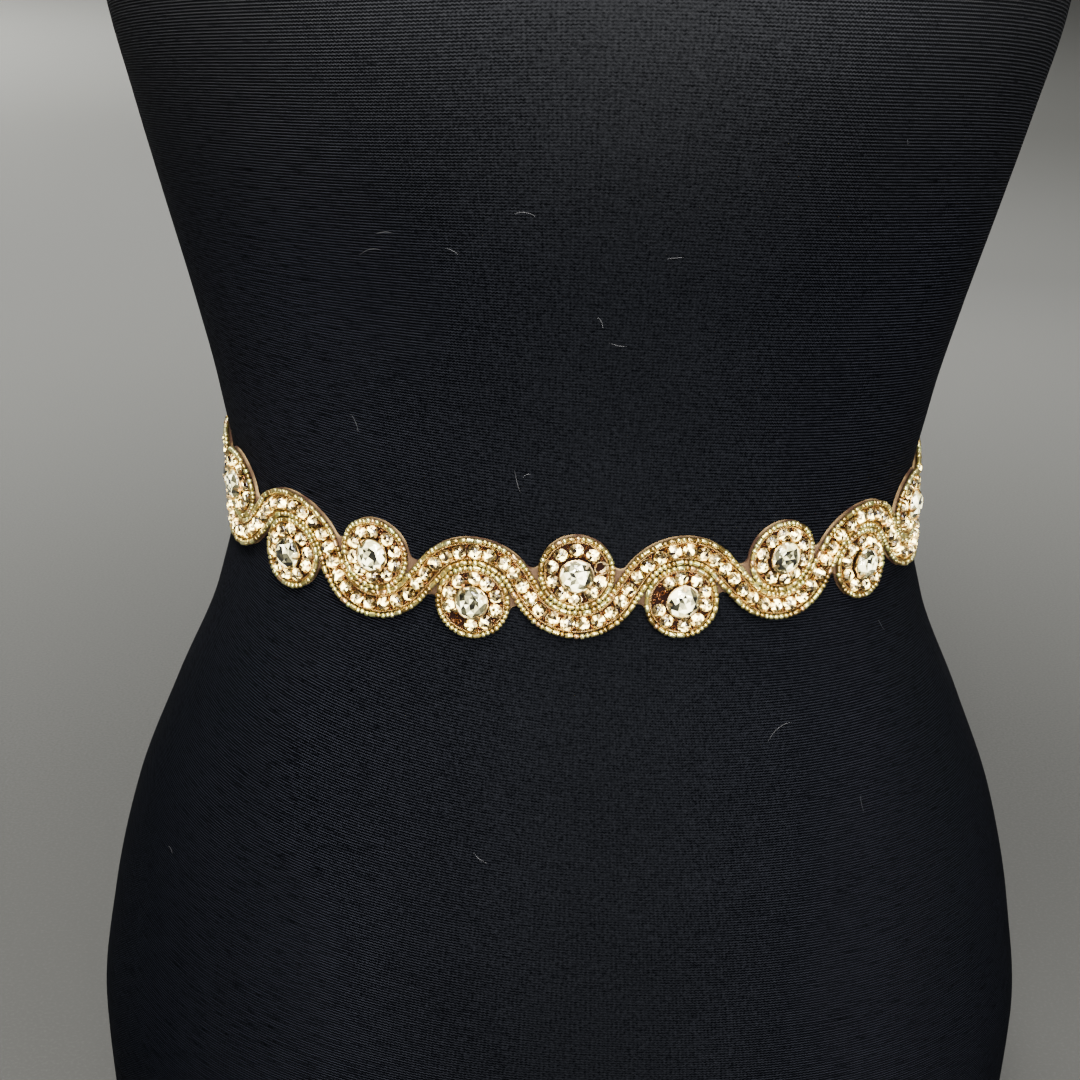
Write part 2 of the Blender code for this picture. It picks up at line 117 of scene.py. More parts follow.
class ShaderGraph:
    """The node tree of a material or a world: one shader, wired by small calls."""

    def __init__(
        self, owner: bpy.types.ID, shader: str = "BsdfPrincipled", output: str = "OutputMaterial"
    ) -> None:
        """Empties the owner's tree and joins a new shader to a new output.

        Args:
            owner: The material or the world.
            shader: The shader's type.
            output: The output's type.
        """
        owner.use_nodes = True
        self.owner, self.tree = owner, owner.node_tree
        self.tree.nodes.clear()
        self.shader = self.node(shader)
        self.node(output, sockets={"Surface": self.shader.outputs[0]})

    def node(
        self, kind: str, settings: dict[str, object] | None = None, sockets: Feeds | None = None
    ) -> bpy.types.Node:
        """Adds a node of any kind.

        Args:
            kind: The node's type, without the ShaderNode that all of them start with.
            settings: Its own properties, set first; "stops" is a colour ramp's list of
                (position, colour).
            sockets: Values or links for its inputs, by name or number.

        Returns:
            The node.
        """
        made = self.tree.nodes.new(f"ShaderNode{kind}")
        for key, value in (settings or {}).items():
            if key == "stops":
                for element, (position, colour) in zip(made.color_ramp.elements, value):
                    element.position = position
                    element.color = (*colour, 1.0)
            else:
                setattr(made, key, value)
        for key, value in (sockets or {}).items():
            self.feed(made.inputs[key], value)
        return made

    def feed(self, socket: Socket, value: object) -> None:
        """Links an input, or sets its own value.

        Args:
            socket: The input.
            value: A wire, a socket, a number, or a colour as (r, g, b).
        """
        source = value.socket if isinstance(value, Wire) else value
        if isinstance(source, Socket):
            self.tree.links.new(source, socket)
        else:
            socket.default_value = (*source, 1.0) if isinstance(source, tuple) else source

    def set(self, **values: object) -> None:
        """Feeds the shader's inputs; an underscore in a name stands for a space."""
        for key, value in values.items():
            self.feed(self.shader.inputs[key.replace("_", " ")], value)

    def math(self, operation: str, *values: object) -> Wire:
        """A Math node of this operation on wires and numbers."""
        made = self.node("Math", {"operation": operation}, dict(enumerate(values)))
        return Wire(self, made.outputs[0])

    def mix(self, amount: object, first: object, second: object) -> Socket:
        """The colour that is first where amount is 0 and second where it is 1."""
        return self.node("Mix", {"data_type": "RGBA"}, {0: amount, 6: first, 7: second}).outputs[2]

    def split(self, vector: Socket) -> list[Wire]:
        """The three parts of a vector."""
        return [Wire(self, part) for part in self.node("SeparateXYZ", sockets={0: vector}).outputs]

    def join(self, x: object, y: object) -> Socket:
        """A flat vector of two numbers."""
        return self.node("CombineXYZ", sockets={0: x, 1: y}).outputs[0]

    def place(self) -> Socket:
        """Object coordinates, in metres."""
        return self.node("TexCoord").outputs["Object"]

    def pattern_uv(self) -> list[Wire]:
        """The piece's own pattern map, in metres along and across."""
        return self.split(self.node("UVMap", {"uv_map": "pattern"}).outputs[0])[:2]

    def tone(self) -> Socket:
        """The colour that each of the piece's faces was given."""
        return self.node("Attribute", {"attribute_name": "tone"}).outputs["Color"]

    def masks(self) -> list[Wire]:
        """The piece's own three masks."""
        return self.split(self.node("Attribute", {"attribute_name": "masks"}).outputs["Vector"])

    def noise(self, size: float, detail: float = 2.0, where: Socket | None = None) -> Wire:
        """Soft noise from 0 to 1 in blotches of a size, on Object coordinates unless others are given."""
        sockets = {"Vector": where or self.place(), "Scale": 1.0 / size, "Detail": detail}
        return Wire(self, self.node("TexNoise", sockets=sockets).outputs[0])

    def bump(self, height: Wire, depth: float, strength: float = 1.0) -> None:
        """Feeds a height, times a depth in metres, to the shader's normal."""
        sockets = {"Height": height, "Distance": depth, "Strength": strength}
        self.set(Normal=self.node("Bump", sockets=sockets).outputs[0])


# ---- finishes
@dataclass(frozen=True)
class Finish:
    """A finish, which wires a material of its own name."""

    name: str

    @cached_property
    def graph(self) -> ShaderGraph:
        """The graph of a new material."""
        return ShaderGraph(bpy.data.materials.new(self.name))

    @cache
    def material(self) -> bpy.types.Material:
        """The material, wired on its first use."""
        self.wire()
        return self.graph.owner

    def wire(self) -> None:
        """Wires the graph, as every kind of finish does in its own way."""
        raise NotImplementedError


@dataclass(frozen=True)
class BlackJersey(Finish):
    """Fine knitted jersey: slanting courses crossed by faint wales, plainest on the flat front.

    Its height is a cosine across the courses whose phase sways along each wale. The courses slant
    by a share of the distance round from the centre front, and bow by 1 - cos(angle round). Their
    colour runs from valley to ridge as painted shade and light; their contrast grows with x² and
    breaks into dashes along them, and at the sides the ridges are brighter, a painted raking light,
    and the whole is darker, painted shade. A painted light pales the bust; a painted shade darkens
    the hips towards the sides.
    """

    name: str = "black_jersey"
    # Valley and ridge: painted shade and light of the courses; side_ridge: painted raking light at the
    # sides.
    valley: Colour = (0.0003, 0.0004, 0.0007)
    ridge: Colour = (0.0080, 0.0086, 0.0106)
    side_ridge: Colour = (0.0200, 0.0212, 0.0285)
    # shaded_ridge: the painted shade on the hips.
    shaded_ridge: Colour = (0.0065, 0.0078, 0.0118)
    # A painted light that pales the top of the bust.
    painted_bust_light: Colour = (0.0255, 0.0258, 0.0272)
    course: float = 1.0 * MM
    wale: float = 0.95 * MM
    sway: float = 0.10 * MM
    girth: float = 780 * MM
    # The courses' slant and bow: low down, high up, and the two heights.
    slant: tuple[float, ...] = (0.12, -0.03, 300 * MM, 480 * MM)
    bow: tuple[float, ...] = (30 * MM, -20 * MM, 150 * MM, 450 * MM)
    # The ribs are plainest this far right of the centre, and fullest this far from there.
    plain_at: float = 12 * MM
    side_reach: float = 100 * MM
    # How proud the courses are on the front, and how much prouder at the sides.
    relief: Pair = (0.34, 1.9)
    # The shares of wales, fuzz and clouds beside the courses, and how bright it all lies.
    wale_share: float = 0.14
    fuzz_share: float = 1.5
    cloud_share: float = 0.2
    level: float = 0.36
    # How far the sides are darkened by painted shade.
    side_shade: float = 0.55
    # The painted light on the bust fades in between these heights.
    painted_light_low: float = 385 * MM
    painted_light_high: float = 520 * MM
    # The painted shade on the hips fades in below a height, and away from a line beside the centre.
    hip_shade_top: float = 330 * MM
    hip_shade_fade: float = 100 * MM
    hip_shade_middle: float = 18 * MM
    hip_shade_start: float = 85 * MM
    hip_shade_reach: float = 80 * MM
    hip_shade_share: float = 0.85

    def wire(self) -> None:
        """Wires the jersey."""
        graph = self.graph
        round_form, up = graph.pattern_uv()
        x, _, height = graph.split(graph.place())
        side = ((x - self.plain_at) * (x - self.plain_at) / self.side_reach**2).clamp()
        # Painted light on the top of the bust.
        bust_light_rise = ((height - self.painted_light_low) / (self.painted_light_high - self.painted_light_low)).clamp() ** 1.5
        sway = (round_form * (2 * np.pi / self.wale)).math("SINE") * self.sway
        slant, bow = (
            first + ((height - low) / (high - low)).clamp() * (last - first)
            for first, last, low, high in (self.slant, self.bow)
        )
        turn = (round_form * (2 * np.pi / self.girth)).math("COSINE")
        spiral = round_form.math("WRAP", self.girth / 2, -self.girth / 2) * slant
        lie = up + spiral - bow * (1.0 - turn)
        course = (lie + sway).wave(self.course) - 0.5
        wale = round_form.wave(self.wale) - 0.5
        dash = graph.noise(1.3 * MM, 2.0, graph.join(round_form * 0.2, lie)) * 3.0 - 0.5
        fuzz = graph.noise(0.9 * MM, 3.0) - 0.5
        cloudy = graph.noise(45 * MM, 3.0)
        proud = side * self.relief[1] + self.relief[0]
        knit = course * proud * dash + wale * self.wale_share + fuzz * self.fuzz_share
        thread = (knit + cloudy * self.cloud_share + self.level - side * self.side_shade).clamp()
        # Painted shade on the lower hips, darker towards the sides.
        low_down = ((self.hip_shade_top - height) / self.hip_shade_fade).clamp()
        aside = (x - self.hip_shade_middle).math("ABSOLUTE") - self.hip_shade_start
        hip_shade = (aside / self.hip_shade_reach).clamp() * low_down
        # Valley to ridge is painted shade and light; ridges grow brighter at the sides, a painted raking
        # light.
        ridge = graph.mix(side, self.ridge, self.side_ridge)
        cloth = graph.mix(thread, self.valley, graph.mix(hip_shade * self.hip_shade_share, ridge, self.shaded_ridge))
        # How much painted light lies on the bust, more towards the sides.
        bust_light_share = (bust_light_rise * (thread * 0.9 + 0.12) * (side * 0.9 + 1.0)).clamp()
        graph.set(
            Base_Color=graph.mix(bust_light_share, cloth, self.painted_bust_light), Roughness=0.60 + cloudy * 0.16,
            Specular_IOR_Level=0.014, Specular_Tint=(0.88, 0.93, 1.0),
        )
        graph.bump(knit, 0.2 * MM)


@dataclass(frozen=True)
class BackingCloth(Finish):
    """Organza over thin felt, rose beige, darker under the beadwork by painted shade on the stitched
    ground.

    A plain weave is the product of two cosines. The first two masks mark the stitched ground,
    which takes the painted shade, and the rim, which changes between pale and dark every centimetre
    or so.
    """

    name: str = "rose_backing"
    bare: Colour = (0.112, 0.066, 0.036)
    hollow: Colour = (0.025, 0.013, 0.011)
    edge: Colour = (0.42, 0.28, 0.12)
    edge_dark: Colour = (0.050, 0.024, 0.014)
    # The painted shade on the ground under the beadwork.
    under_beadwork_shade: Colour = (0.013, 0.004, 0.0025)
    thread: float = 0.42 * MM

    def wire(self) -> None:
        """Wires the cloth."""
        graph = self.graph
        along, up = graph.pattern_uv()
        ground, rim, _ = graph.masks()
        weave = along.wave(self.thread) * up.wave(self.thread)
        slub = graph.noise(1.6 * MM, 3.0)
        worn = (graph.noise(9 * MM, 2.0) * 5.0 - 2.0).clamp()
        cloth = graph.mix(rim, self.bare, graph.mix(worn, self.edge, self.edge_dark))
        shaded = graph.mix((weave * 0.35 + slub * 0.35).clamp(), cloth, self.hollow)
        graph.set(
            Base_Color=graph.mix(ground, shaded, self.under_beadwork_shade), Roughness=0.66 + slub * 0.2,
            Specular_IOR_Level=0.12,
        )
        graph.bump(weave * 0.6 + slub * 0.4, 0.09 * MM, 0.6)


@dataclass(frozen=True)
class CutStone(Finish):
    """Foiled glass: every facet has a tone of its own, a painted reflection of the light that comes
    back from behind it.

    The stone glows with painted light: the tone to the power of contrast, times glow.
    """

    name: str = "clear_stone"
    glow: float = 14.0
    contrast: float = 5.0

    def wire(self) -> None:
        """Wires the stone."""
        graph = self.graph
        tone = graph.tone()
        light = graph.node("Gamma", sockets={"Color": tone, "Gamma": self.contrast}).outputs[0]
        graph.set(
            Base_Color=tone, Metallic=0.25, Roughness=0.06, IOR=1.58, Coat_Weight=1.0,
            Coat_Roughness=0.02, Emission_Color=light, Emission_Strength=self.glow,
        )


@dataclass(frozen=True)
class GoldLinedGlass(Finish):
    """Small glass beads with a gold lining: a tone for each bead under a clear coat."""

    name: str = "gold_lined_beads"

    def wire(self) -> None:
        """Wires the beads."""
        graph = self.graph
        graph.set(
            Base_Color=graph.tone(), Metallic=0.95,
            Roughness=0.25 + graph.noise(0.5 * MM, 1.0) * 0.1, IOR=1.52, Coat_Weight=0.15,
            Coat_Roughness=0.16,
        )


@dataclass(frozen=True)
class RoseGold(Finish):
    """Plated metal of the stones' cups and claws, worn a little darker in blotches."""

    name: str = "rose_gold"
    bright: Colour = (0.92, 0.76, 0.38)
    worn: Colour = (0.42, 0.19, 0.06)

    def wire(self) -> None:
        """Wires the metal."""
        graph = self.graph
        blotch = (graph.noise(2.6 * MM, 3.0) * 1.6 - 0.35).clamp()
        colour = graph.mix(blotch, self.bright, self.worn)
        graph.set(Base_Color=colour, Metallic=1.0, Roughness=0.2 + blotch * 0.22)


@dataclass(frozen=True)
class PurlThread(Finish):
    """Coiled metal thread, orange gold, with painted shade in the grooves between its turns.

    Its coil is a cosine of the distance along plus a share of the distance round the thread.
    """

    name: str = "purl_thread"
    crest: Colour = (0.60, 0.38, 0.13)
    # Painted shade in the grooves between the turns.
    groove_shade: Colour = (0.05, 0.015, 0.004)
    turn: float = 0.55 * MM

    def wire(self) -> None:
        """Wires the thread."""
        graph = self.graph
        along, around = graph.pattern_uv()
        coil = (along + around * 0.35).wave(self.turn)
        graph.set(Base_Color=graph.mix(coil, self.groove_shade, self.crest), Metallic=0.85, Roughness=0.34)
        graph.bump(coil, 0.10 * MM, 0.8)


@dataclass(frozen=True)
class FineGrain(Finish):
    """A dull surface covered by fine noise, in its colour, its relief and perhaps its gloss."""

    deep: Colour
    light: Colour
    size: float
    detail: float
    roughness: float
    uneven: float
    gloss: float
    depth: float
    strength: float

    def wire(self) -> None:
        """Wires the surface."""
        graph = self.graph
        grain = graph.noise(self.size, self.detail)
        graph.set(
            Base_Color=graph.mix(grain, self.deep, self.light),
            Roughness=self.roughness + grain * self.uneven if self.uneven else self.roughness,
            Specular_IOR_Level=self.gloss,
        )
        graph.bump(grain, self.depth, self.strength)


@dataclass(frozen=True)
class BlushSatin(Finish):
    """Satin ribbon: long glossy floats, a fine rib across, and closely woven edges.

    Noise drawn out twelve times along the ribbon streaks its gloss. Its colour carries painted sheen
    and shade, in broad mottles, in the streaks and over the rib. The first mask marks its woven
    edges, which are paler, duller and ribbed more deeply.
    """

    name: str = "blush_satin"
    light: Colour = (0.52, 0.33, 0.26)
    deep: Colour = (0.25, 0.135, 0.10)
    selvedge: Colour = (0.60, 0.42, 0.34)
    rib: float = 0.45 * MM
    float_pitch: float = 0.3 * MM

    def wire(self) -> None:
        """Wires the satin."""
        graph = self.graph
        along, across = graph.pattern_uv()
        edge, _, _ = graph.masks()
        rib = along.wave(self.rib)
        floats = across.wave(self.float_pitch)
        streak = graph.noise(1.6 * MM, 3.0, graph.join(along / 12.0, across))
        mottle = graph.noise(14 * MM, 3.0)
        # Painted sheen and shade of the satin, from mottles, streaks and the rib.
        shade = (mottle * 0.5 + streak * 0.6 + rib * 0.12 - 0.25).clamp()
        satin = graph.mix(shade, self.light, self.deep)
        graph.set(
            Base_Color=graph.mix(edge * 0.7, satin, self.selvedge),
            Roughness=0.22 + streak * 0.18 + edge * 0.2, Sheen_Weight=0.12, Sheen_Roughness=0.3,
            Sheen_Tint=(1.0, 0.86, 0.8), Coat_Weight=0.3, Coat_Roughness=0.28,
        )
        graph.bump(rib * (0.25 + edge * 0.5) + floats * 0.15 + streak * 0.6, 0.09 * MM, 0.7)


@dataclass(frozen=True)
class SpunThread(Finish):
    """Spun thread in one colour, with the twist of its plies."""

    name: str = "sewing_thread"
    colour: Colour = (0.62, 0.44, 0.34)
    shadow: Colour = (0.28, 0.17, 0.12)
    ply: float = 0.5 * MM

    def wire(self) -> None:
        """Wires the thread."""
        graph = self.graph
        along, around = graph.pattern_uv()
        twist = (along + around).wave(self.ply)
        graph.set(Base_Color=graph.mix(twist, self.shadow, self.colour), Roughness=0.6)
        graph.bump(twist, 0.04 * MM, 0.6)


@dataclass(frozen=True)
class PaleFloor(Finish):
    """A plain matt floor that is darker round the form, a painted shadow, and grows paler away
    from it on every side.

    Its tone is (1 - reach / (distance from the form + 0.45 m)) to the power 2.5.
    """

    name: str = "pale_floor"
    # The painted shadow round the form.
    near: Colour = (0.058, 0.058, 0.0545)
    far: Colour = (0.29, 0.29, 0.272)
    reach: float = 0.705

    def wire(self) -> None:
        """Wires the floor."""
        graph = self.graph
        length = graph.node("VectorMath", {"operation": "LENGTH"}, {0: graph.place()})
        away = (Wire(graph, length.outputs["Value"]) + 0.45).math("MAXIMUM", self.reach)
        tone = (1.0 - self.reach / away) ** 2.5
        grain = graph.noise(1.6 * MM, 2.0)
        graph.set(
            Base_Color=graph.mix((tone + grain * 0.16 - 0.08).clamp(), self.near, self.far),
            Roughness=0.95, Specular_IOR_Level=0.1,
        )


# The copper purl, whose second colour is the painted shade of its grooves.
COPPER_PURL = PurlThread("copper_purl", (0.42, 0.17, 0.05), (0.03, 0.008, 0.003))
LINT = SpunThread("lint", (0.12, 0.12, 0.125), (0.07, 0.07, 0.075))
# The centre crystals' painted glow, and the contrast of their tones.
CENTRE_STONE = CutStone("centre_crystal", 6.0, 4.2)
# The dark rose felt under a rosette's stones, its own colour darkened further by painted shade
# under them, and the neck cap's moulded plastic.
FELT_GROUND = FineGrain(
    "felt_ground", deep=(0.004, 0.0012, 0.0008), light=(0.020, 0.006, 0.0035), size=0.5 * MM,
    detail=4.0, roughness=0.9, uneven=0.0, gloss=0.1, depth=0.12 * MM, strength=0.8,
)
MOULDED_CAP = FineGrain(
    "moulded_cap", deep=(0.010, 0.010, 0.011), light=(0.022, 0.022, 0.024), size=0.9 * MM,
    detail=3.0, roughness=0.50, uneven=0.16, gloss=0.2, depth=0.06 * MM, strength=0.5,
)


# ---- shapes
def round_angles(count: int) -> Array:
    """Equal angles once round, from 0."""
    return np.linspace(0, 2 * np.pi, count, endpoint=False)


def ring_points(radius: object, angle: Array, height: object) -> Array:
    """Points at a radius, an angle and a height, each a number or an array."""
    across, deep = radius * np.cos(angle), radius * np.sin(angle)
    return np.stack(np.broadcast_arrays(across, deep, height), -1)


def unit(vectors: Array) -> Array:
    """Vectors brought to length 1."""
    return vectors / np.linalg.norm(vectors, axis=-1, keepdims=True)


def travel(points: Array) -> Array:
    """The distance along a line of points, at each of them."""
    return np.concatenate([[0], np.cumsum(np.linalg.norm(np.diff(points, axis=0), axis=1))])


def read_rows(at: Array, knots: Array, rows: Array) -> Array:
    """Rows of numbers, one for each knot, read at any place between the knots."""
    return np.stack([np.interp(at, knots, column) for column in rows.T], -1)


def smooth_step(value: Array, start: float, end: float) -> Array:
    """0 before start, 1 after end, and 3t² - 2t³ between them."""
    part = np.clip((np.asarray(value) - start) / (end - start), 0, 1)
    return part * part * (3 - 2 * part)


def signed_power(value: Array, power: float) -> Array:
    """A power of the size of each value, with the value's own sign."""
    return np.sign(value) * np.abs(value) ** power


@dataclass
class Shape:
    """Points and faces as arrays, before they become a mesh.

    uvs and tones hold an array for each array of faces: a map point for each corner, and a colour
    for each face. masks holds three numbers for each point.
    """

    points: Array
    faces: list[Array]
    uvs: list[Array] | None = None
    tones: list[Array] | None = None
    masks: Array | None = None

    def __post_init__(self) -> None:
        """Fills in an empty map, white tones and empty masks."""
        self.uvs = self.uvs or [np.zeros((*face.shape, 2)) for face in self.faces]
        self.tones = self.tones or [np.ones((len(face), 3)) for face in self.faces]
        self.masks = np.zeros_like(self.points) if self.masks is None else self.masks

    def outward(self) -> "Shape":
        """Turns a closed shape's faces outwards.

        Returns:
            This shape. The sign of its volume, the sum of each face's fan of tetrahedra to its
            middle, says which way its faces are now.
        """
        centre = self.points.mean(0)
        volume = 0.0
        for face in self.faces:
            corners = self.points[face] - centre
            for k in range(1, face.shape[1] - 1):
                across = np.cross(corners[:, k], corners[:, k + 1])
                volume += np.einsum("ij,ij->i", corners[:, 0], across).sum()
        if volume < 0:
            self.faces = [face[:, ::-1] for face in self.faces]
            self.uvs = [uv[:, ::-1] for uv in self.uvs]
        return self


def merged(shapes: list[Shape]) -> Shape:
    """Joins shapes.

    Args:
        shapes: Any number of shapes.

    Returns:
        One shape, with their arrays of faces in order.
    """
    starts = np.cumsum([0] + [len(shape.points) for shape in shapes])
    return Shape(
        np.concatenate([shape.points for shape in shapes]),
        [face + start for shape, start in zip(shapes, starts) for face in shape.faces],
        [uv for shape in shapes for uv in shape.uvs],
        [tone for shape in shapes for tone in shape.tones],
        np.concatenate([shape.masks for shape in shapes]),
    )


@dataclass
class Layer:
    """A shape and the finish it wears in a piece."""

    shape: Shape
    finish: Finish
    smooth: bool = True


def grid_faces(rows: int, columns: int, close_rows: bool = False) -> Array:
    """The quads of a grid of points stored row by row, whose rows are rings.

    Args:
        rows: How many rows of points there are.
        columns: How many points a row has.
        close_rows: Whether the last row joins the first.

    Returns:
        Quads, each (row, column), (row, column + 1), and the same of the next row.
    """
    i = np.arange(rows if close_rows else rows - 1)[:, None]
    j = np.arange(columns)[None, :]
    ahead, right = (i + 1) % rows, (j + 1) % columns
    corners = (i * columns + j, i * columns + right, ahead * columns + right, ahead * columns + j)
    return np.stack(corners, -1).reshape(-1, 4)


def grid_uv(u: Array, v: Array) -> Array:
    """The corners of grid_faces in a map that has one more row and column than it has faces."""
    uv = np.stack(np.broadcast_arrays(u, v), -1)
    return np.stack([uv[:-1, :-1], uv[:-1, 1:], uv[1:, 1:], uv[1:, :-1]], 2).reshape(-1, 4, 2)


def tube(rings: Array, u: Array, v: Array, closed: bool = False) -> Shape:
    """A closed skin over a run of rings.

    Args:
        rings: Points as (ring, point round it, 3).
        u: Distance along at each ring, one longer if closed.
        v: Distance round at each point and once more; perhaps a row for each ring.
        closed: Whether the last ring joins the first; if not, a flat face closes each end.

    Returns:
        The skin, with its map.
    """
    count, size = rings.shape[:2]
    faces = [grid_faces(count, size, closed)]
    uvs = [grid_uv(u[:, None], v)]
    if not closed:
        ring = np.arange(size)
        faces.append(np.stack([ring[::-1], (count - 1) * size + ring]))
        uvs.append(np.zeros((2, size, 2)) + np.stack([u[[0, -1]], [0, 0]], -1)[:, None])
    return Shape(rings.reshape(-1, 3), faces, uvs).outward()


def add_object(name: str, data: bpy.types.ID) -> Piece:
    """Adds an object to the scene.

    Args:
        name: Its name.
        data: Its mesh, light or camera.

    Returns:
        The object.
    """
    made = bpy.data.objects.new(name, data)
    bpy.context.scene.collection.objects.link(made)
    return made


def make_piece(name: str, slot: str, node: str, *layers: Layer) -> Piece:
    """Makes one object of several layers and puts it in the place of the node it stands for.

    Args:
        name: The object's name.
        slot: A material slot's name; not used.
        node: The solid it replaces, or an empty name.
        *layers: What it is made of; each finish gets one material slot.

    Returns:
        The object, riding on the root body.
    """
    finishes = list(dict.fromkeys(layer.finish for layer in layers))
    whole = merged([layer.shape for layer in layers])
    worn = [layer for layer in layers for _ in layer.shape.faces]

    def flat(rows: Iterable[Array], kind: type = np.float32) -> Array:
        """Arrays joined into one flat array for foreach_set."""
        return np.concatenate([row.reshape(-1) for row in rows]).astype(kind)

    def spread(values: Iterable[object], kind: type = np.int32) -> Array:
        """A value for each array of faces, given to each of its faces."""
        return flat((np.full(len(f), value) for f, value in zip(whole.faces, values)), kind)

    mesh = bpy.data.meshes.new(name)
    mesh.vertices.add(len(whole.points))
    mesh.vertices.foreach_set("co", flat([whole.points]))
    corners, sizes = flat(whole.faces, np.int32), spread(face.shape[1] for face in whole.faces)
    mesh.loops.add(len(corners))
    mesh.loops.foreach_set("vertex_index", corners)
    mesh.polygons.add(len(sizes))
    mesh.polygons.foreach_set("loop_start", np.cumsum(sizes, dtype=np.int32) - sizes)
    slots = spread(finishes.index(layer.finish) for layer in worn)
    mesh.polygons.foreach_set("material_index", slots)
    mesh.polygons.foreach_set("use_smooth", spread((layer.smooth for layer in worn), bool))
    mesh.update(calc_edges=True)
    mesh.uv_layers.new(name="pattern").uv.foreach_set("vector", flat(whole.uvs))
    tones = np.repeat(np.insert(np.concatenate(whole.tones), 3, 1.0, axis=1), sizes, axis=0)
    mesh.attributes.new("tone", "FLOAT_COLOR", "CORNER").data.foreach_set("color", flat([tones]))
    masks = mesh.attributes.new("masks", "FLOAT_VECTOR", "POINT")
    masks.data.foreach_set("vector", flat([whole.masks]))
    mesh.validate()
    mesh.set_sharp_from_angle(angle=np.radians(58))
    for finish in finishes:
        mesh.materials.append(finish.material())
    piece = add_object(name, mesh)
    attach(piece, ROOT)
    if node:
        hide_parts(node)
    return piece


# ---- stamps: small rigid shapes set down many times
@dataclass
class Places:
    """Where small rigid shapes stand: their origins, and axes whose rows are along, across, out."""

    origin: Array
    axes: Array

    def tipped(self, turn: Array, lean: Array, pitch: Array) -> "Places":
        """Turns every place about its own axes, in radians.

        Args:
            turn: The angle about out.
            lean: The angle about along.
            pitch: The angle about across.

        Returns:
            New places: turned, then leaned, then pitched.
        """
        axes = list(self.axes.transpose(1, 0, 2))
        for angle, first, second in ((turn, 0, 1), (lean, 1, 2), (pitch, 0, 2)):
            c, s = np.cos(angle)[:, None], np.sin(angle)[:, None]
            a, b = axes[first], axes[second]
            axes[first], axes[second] = c * a + s * b, c * b - s * a
        return Places(self.origin, np.stack(axes, 1))

    def moved(self, shift: Array) -> "Places":
        """Moved by (along, across, out) in each place's own axes."""
        return Places(self.origin + np.einsum("nk,nkj->nj", shift, self.axes), self.axes)

    def pick(self, which: Array) -> "Places":
        """Only the places that a mask or an index names."""
        return Places(self.origin[which], self.axes[which])


def stamp(shape: Shape, places: Places, scale: Array, tones: Array | None = None) -> Shape:
    """Sets a small shape down at every place.

    Args:
        shape: The shape, in its own along, across and out.
        places: Where it goes.
        scale: Its size at each place, as (place, 3).
        tones: A colour for each place and face, as (place, face, 3).

    Returns:
        The copies as one shape: origin + scaled local point through the place's axes.
    """
    count = len(places.origin)
    local = shape.points[None] * scale[:, None, :]
    points = places.origin[:, None, :] + np.einsum("npk,nkj->npj", local, places.axes)
    shift = np.arange(count)[:, None, None] * len(shape.points)
    faces = [(face[None] + shift).reshape(-1, face.shape[1]) for face in shape.faces]
    if tones is not None:
        starts = np.cumsum([len(face) for face in shape.faces])[:-1]
        tones = [part.reshape(-1, 3) for part in np.split(tones, starts, axis=1)]
    uvs = [np.tile(uv, (count, 1, 1)) for uv in shape.uvs]
    return Shape(points.reshape(-1, 3), faces, uvs, tones)


def turned(profile: Array, sides: int) -> Shape:
    """A closed body turned about its out axis from rows of (radius, height), foot to top."""
    rings = ring_points(profile[:, :1], round_angles(sides), profile[:, 1:])
    return tube(rings, travel(profile), np.linspace(0, 1, sides + 1))


def facets(*corners: object) -> Array:
    """Faces from their first corners, their second ones and so on."""
    return np.stack(np.broadcast_arrays(*corners), -1)


EIGHT = np.arange(8)
SIXTEEN = np.arange(16)
AFTER_EIGHT = (EIGHT + 1) % 8
AFTER_SIXTEEN = (SIXTEEN + 1) % 16


@dataclass(frozen=True)
class BrilliantCut:
    """A round stone of unit radius and height: table, star, kite and girdle facets on a drum.

    Rings of points stand at equal angles: the table's eight corners, eight where star, kite and
    girdle facets meet half a step round, and sixteen on the girdle. An inner ring under the table
    breaks it into the facets that show through it.
    """

    table: float = 0.62
    inner: float = 0.38
    meet: float = 0.88
    girdle_height: float = 0.47
    meet_height: float = 0.72
    dip: float = 0.06
    foot: float = 0.86

    def shape(self) -> Shape:
        """Works out the stone.

        Returns:
            The stone, closed, its faces facing out.
        """
        whole, fine = EIGHT * np.pi / 4, SIXTEEN * np.pi / 8
        half = whole + np.pi / 8
        points = np.concatenate(
            [
                [[0.0, 0.0, 1.0]],
                ring_points(self.inner, half, 1.0 - self.dip),
                ring_points(self.table, whole, 1.0),
                ring_points(self.meet, half, self.meet_height),
                ring_points(1.0, fine, self.girdle_height),
                ring_points(self.foot, fine, 0.0),
            ]
        )
        inner, table, meet = 1 + EIGHT, 9 + EIGHT, 17 + EIGHT
        girdle, foot = 25 + SIXTEEN, 41 + SIXTEEN
        inner_after, table_after = inner[AFTER_EIGHT], table[AFTER_EIGHT]
        low, middle = girdle[::2], girdle[1::2]
        triangles = [
            facets(0, inner, inner_after),
            facets(table, table_after, inner),
            facets(inner, table_after, inner_after),
            facets(table, meet, table_after),
            facets(meet, low, middle),
            facets(meet, middle, low[AFTER_EIGHT]),
        ]
        kites = facets(table, meet[EIGHT - 1], low, meet)
        wall = facets(girdle, foot, foot[AFTER_SIXTEEN], girdle[AFTER_SIXTEEN])
        return Shape(points, [np.concatenate(triangles), np.concatenate([kites, wall]), foot[None, ::-1]])


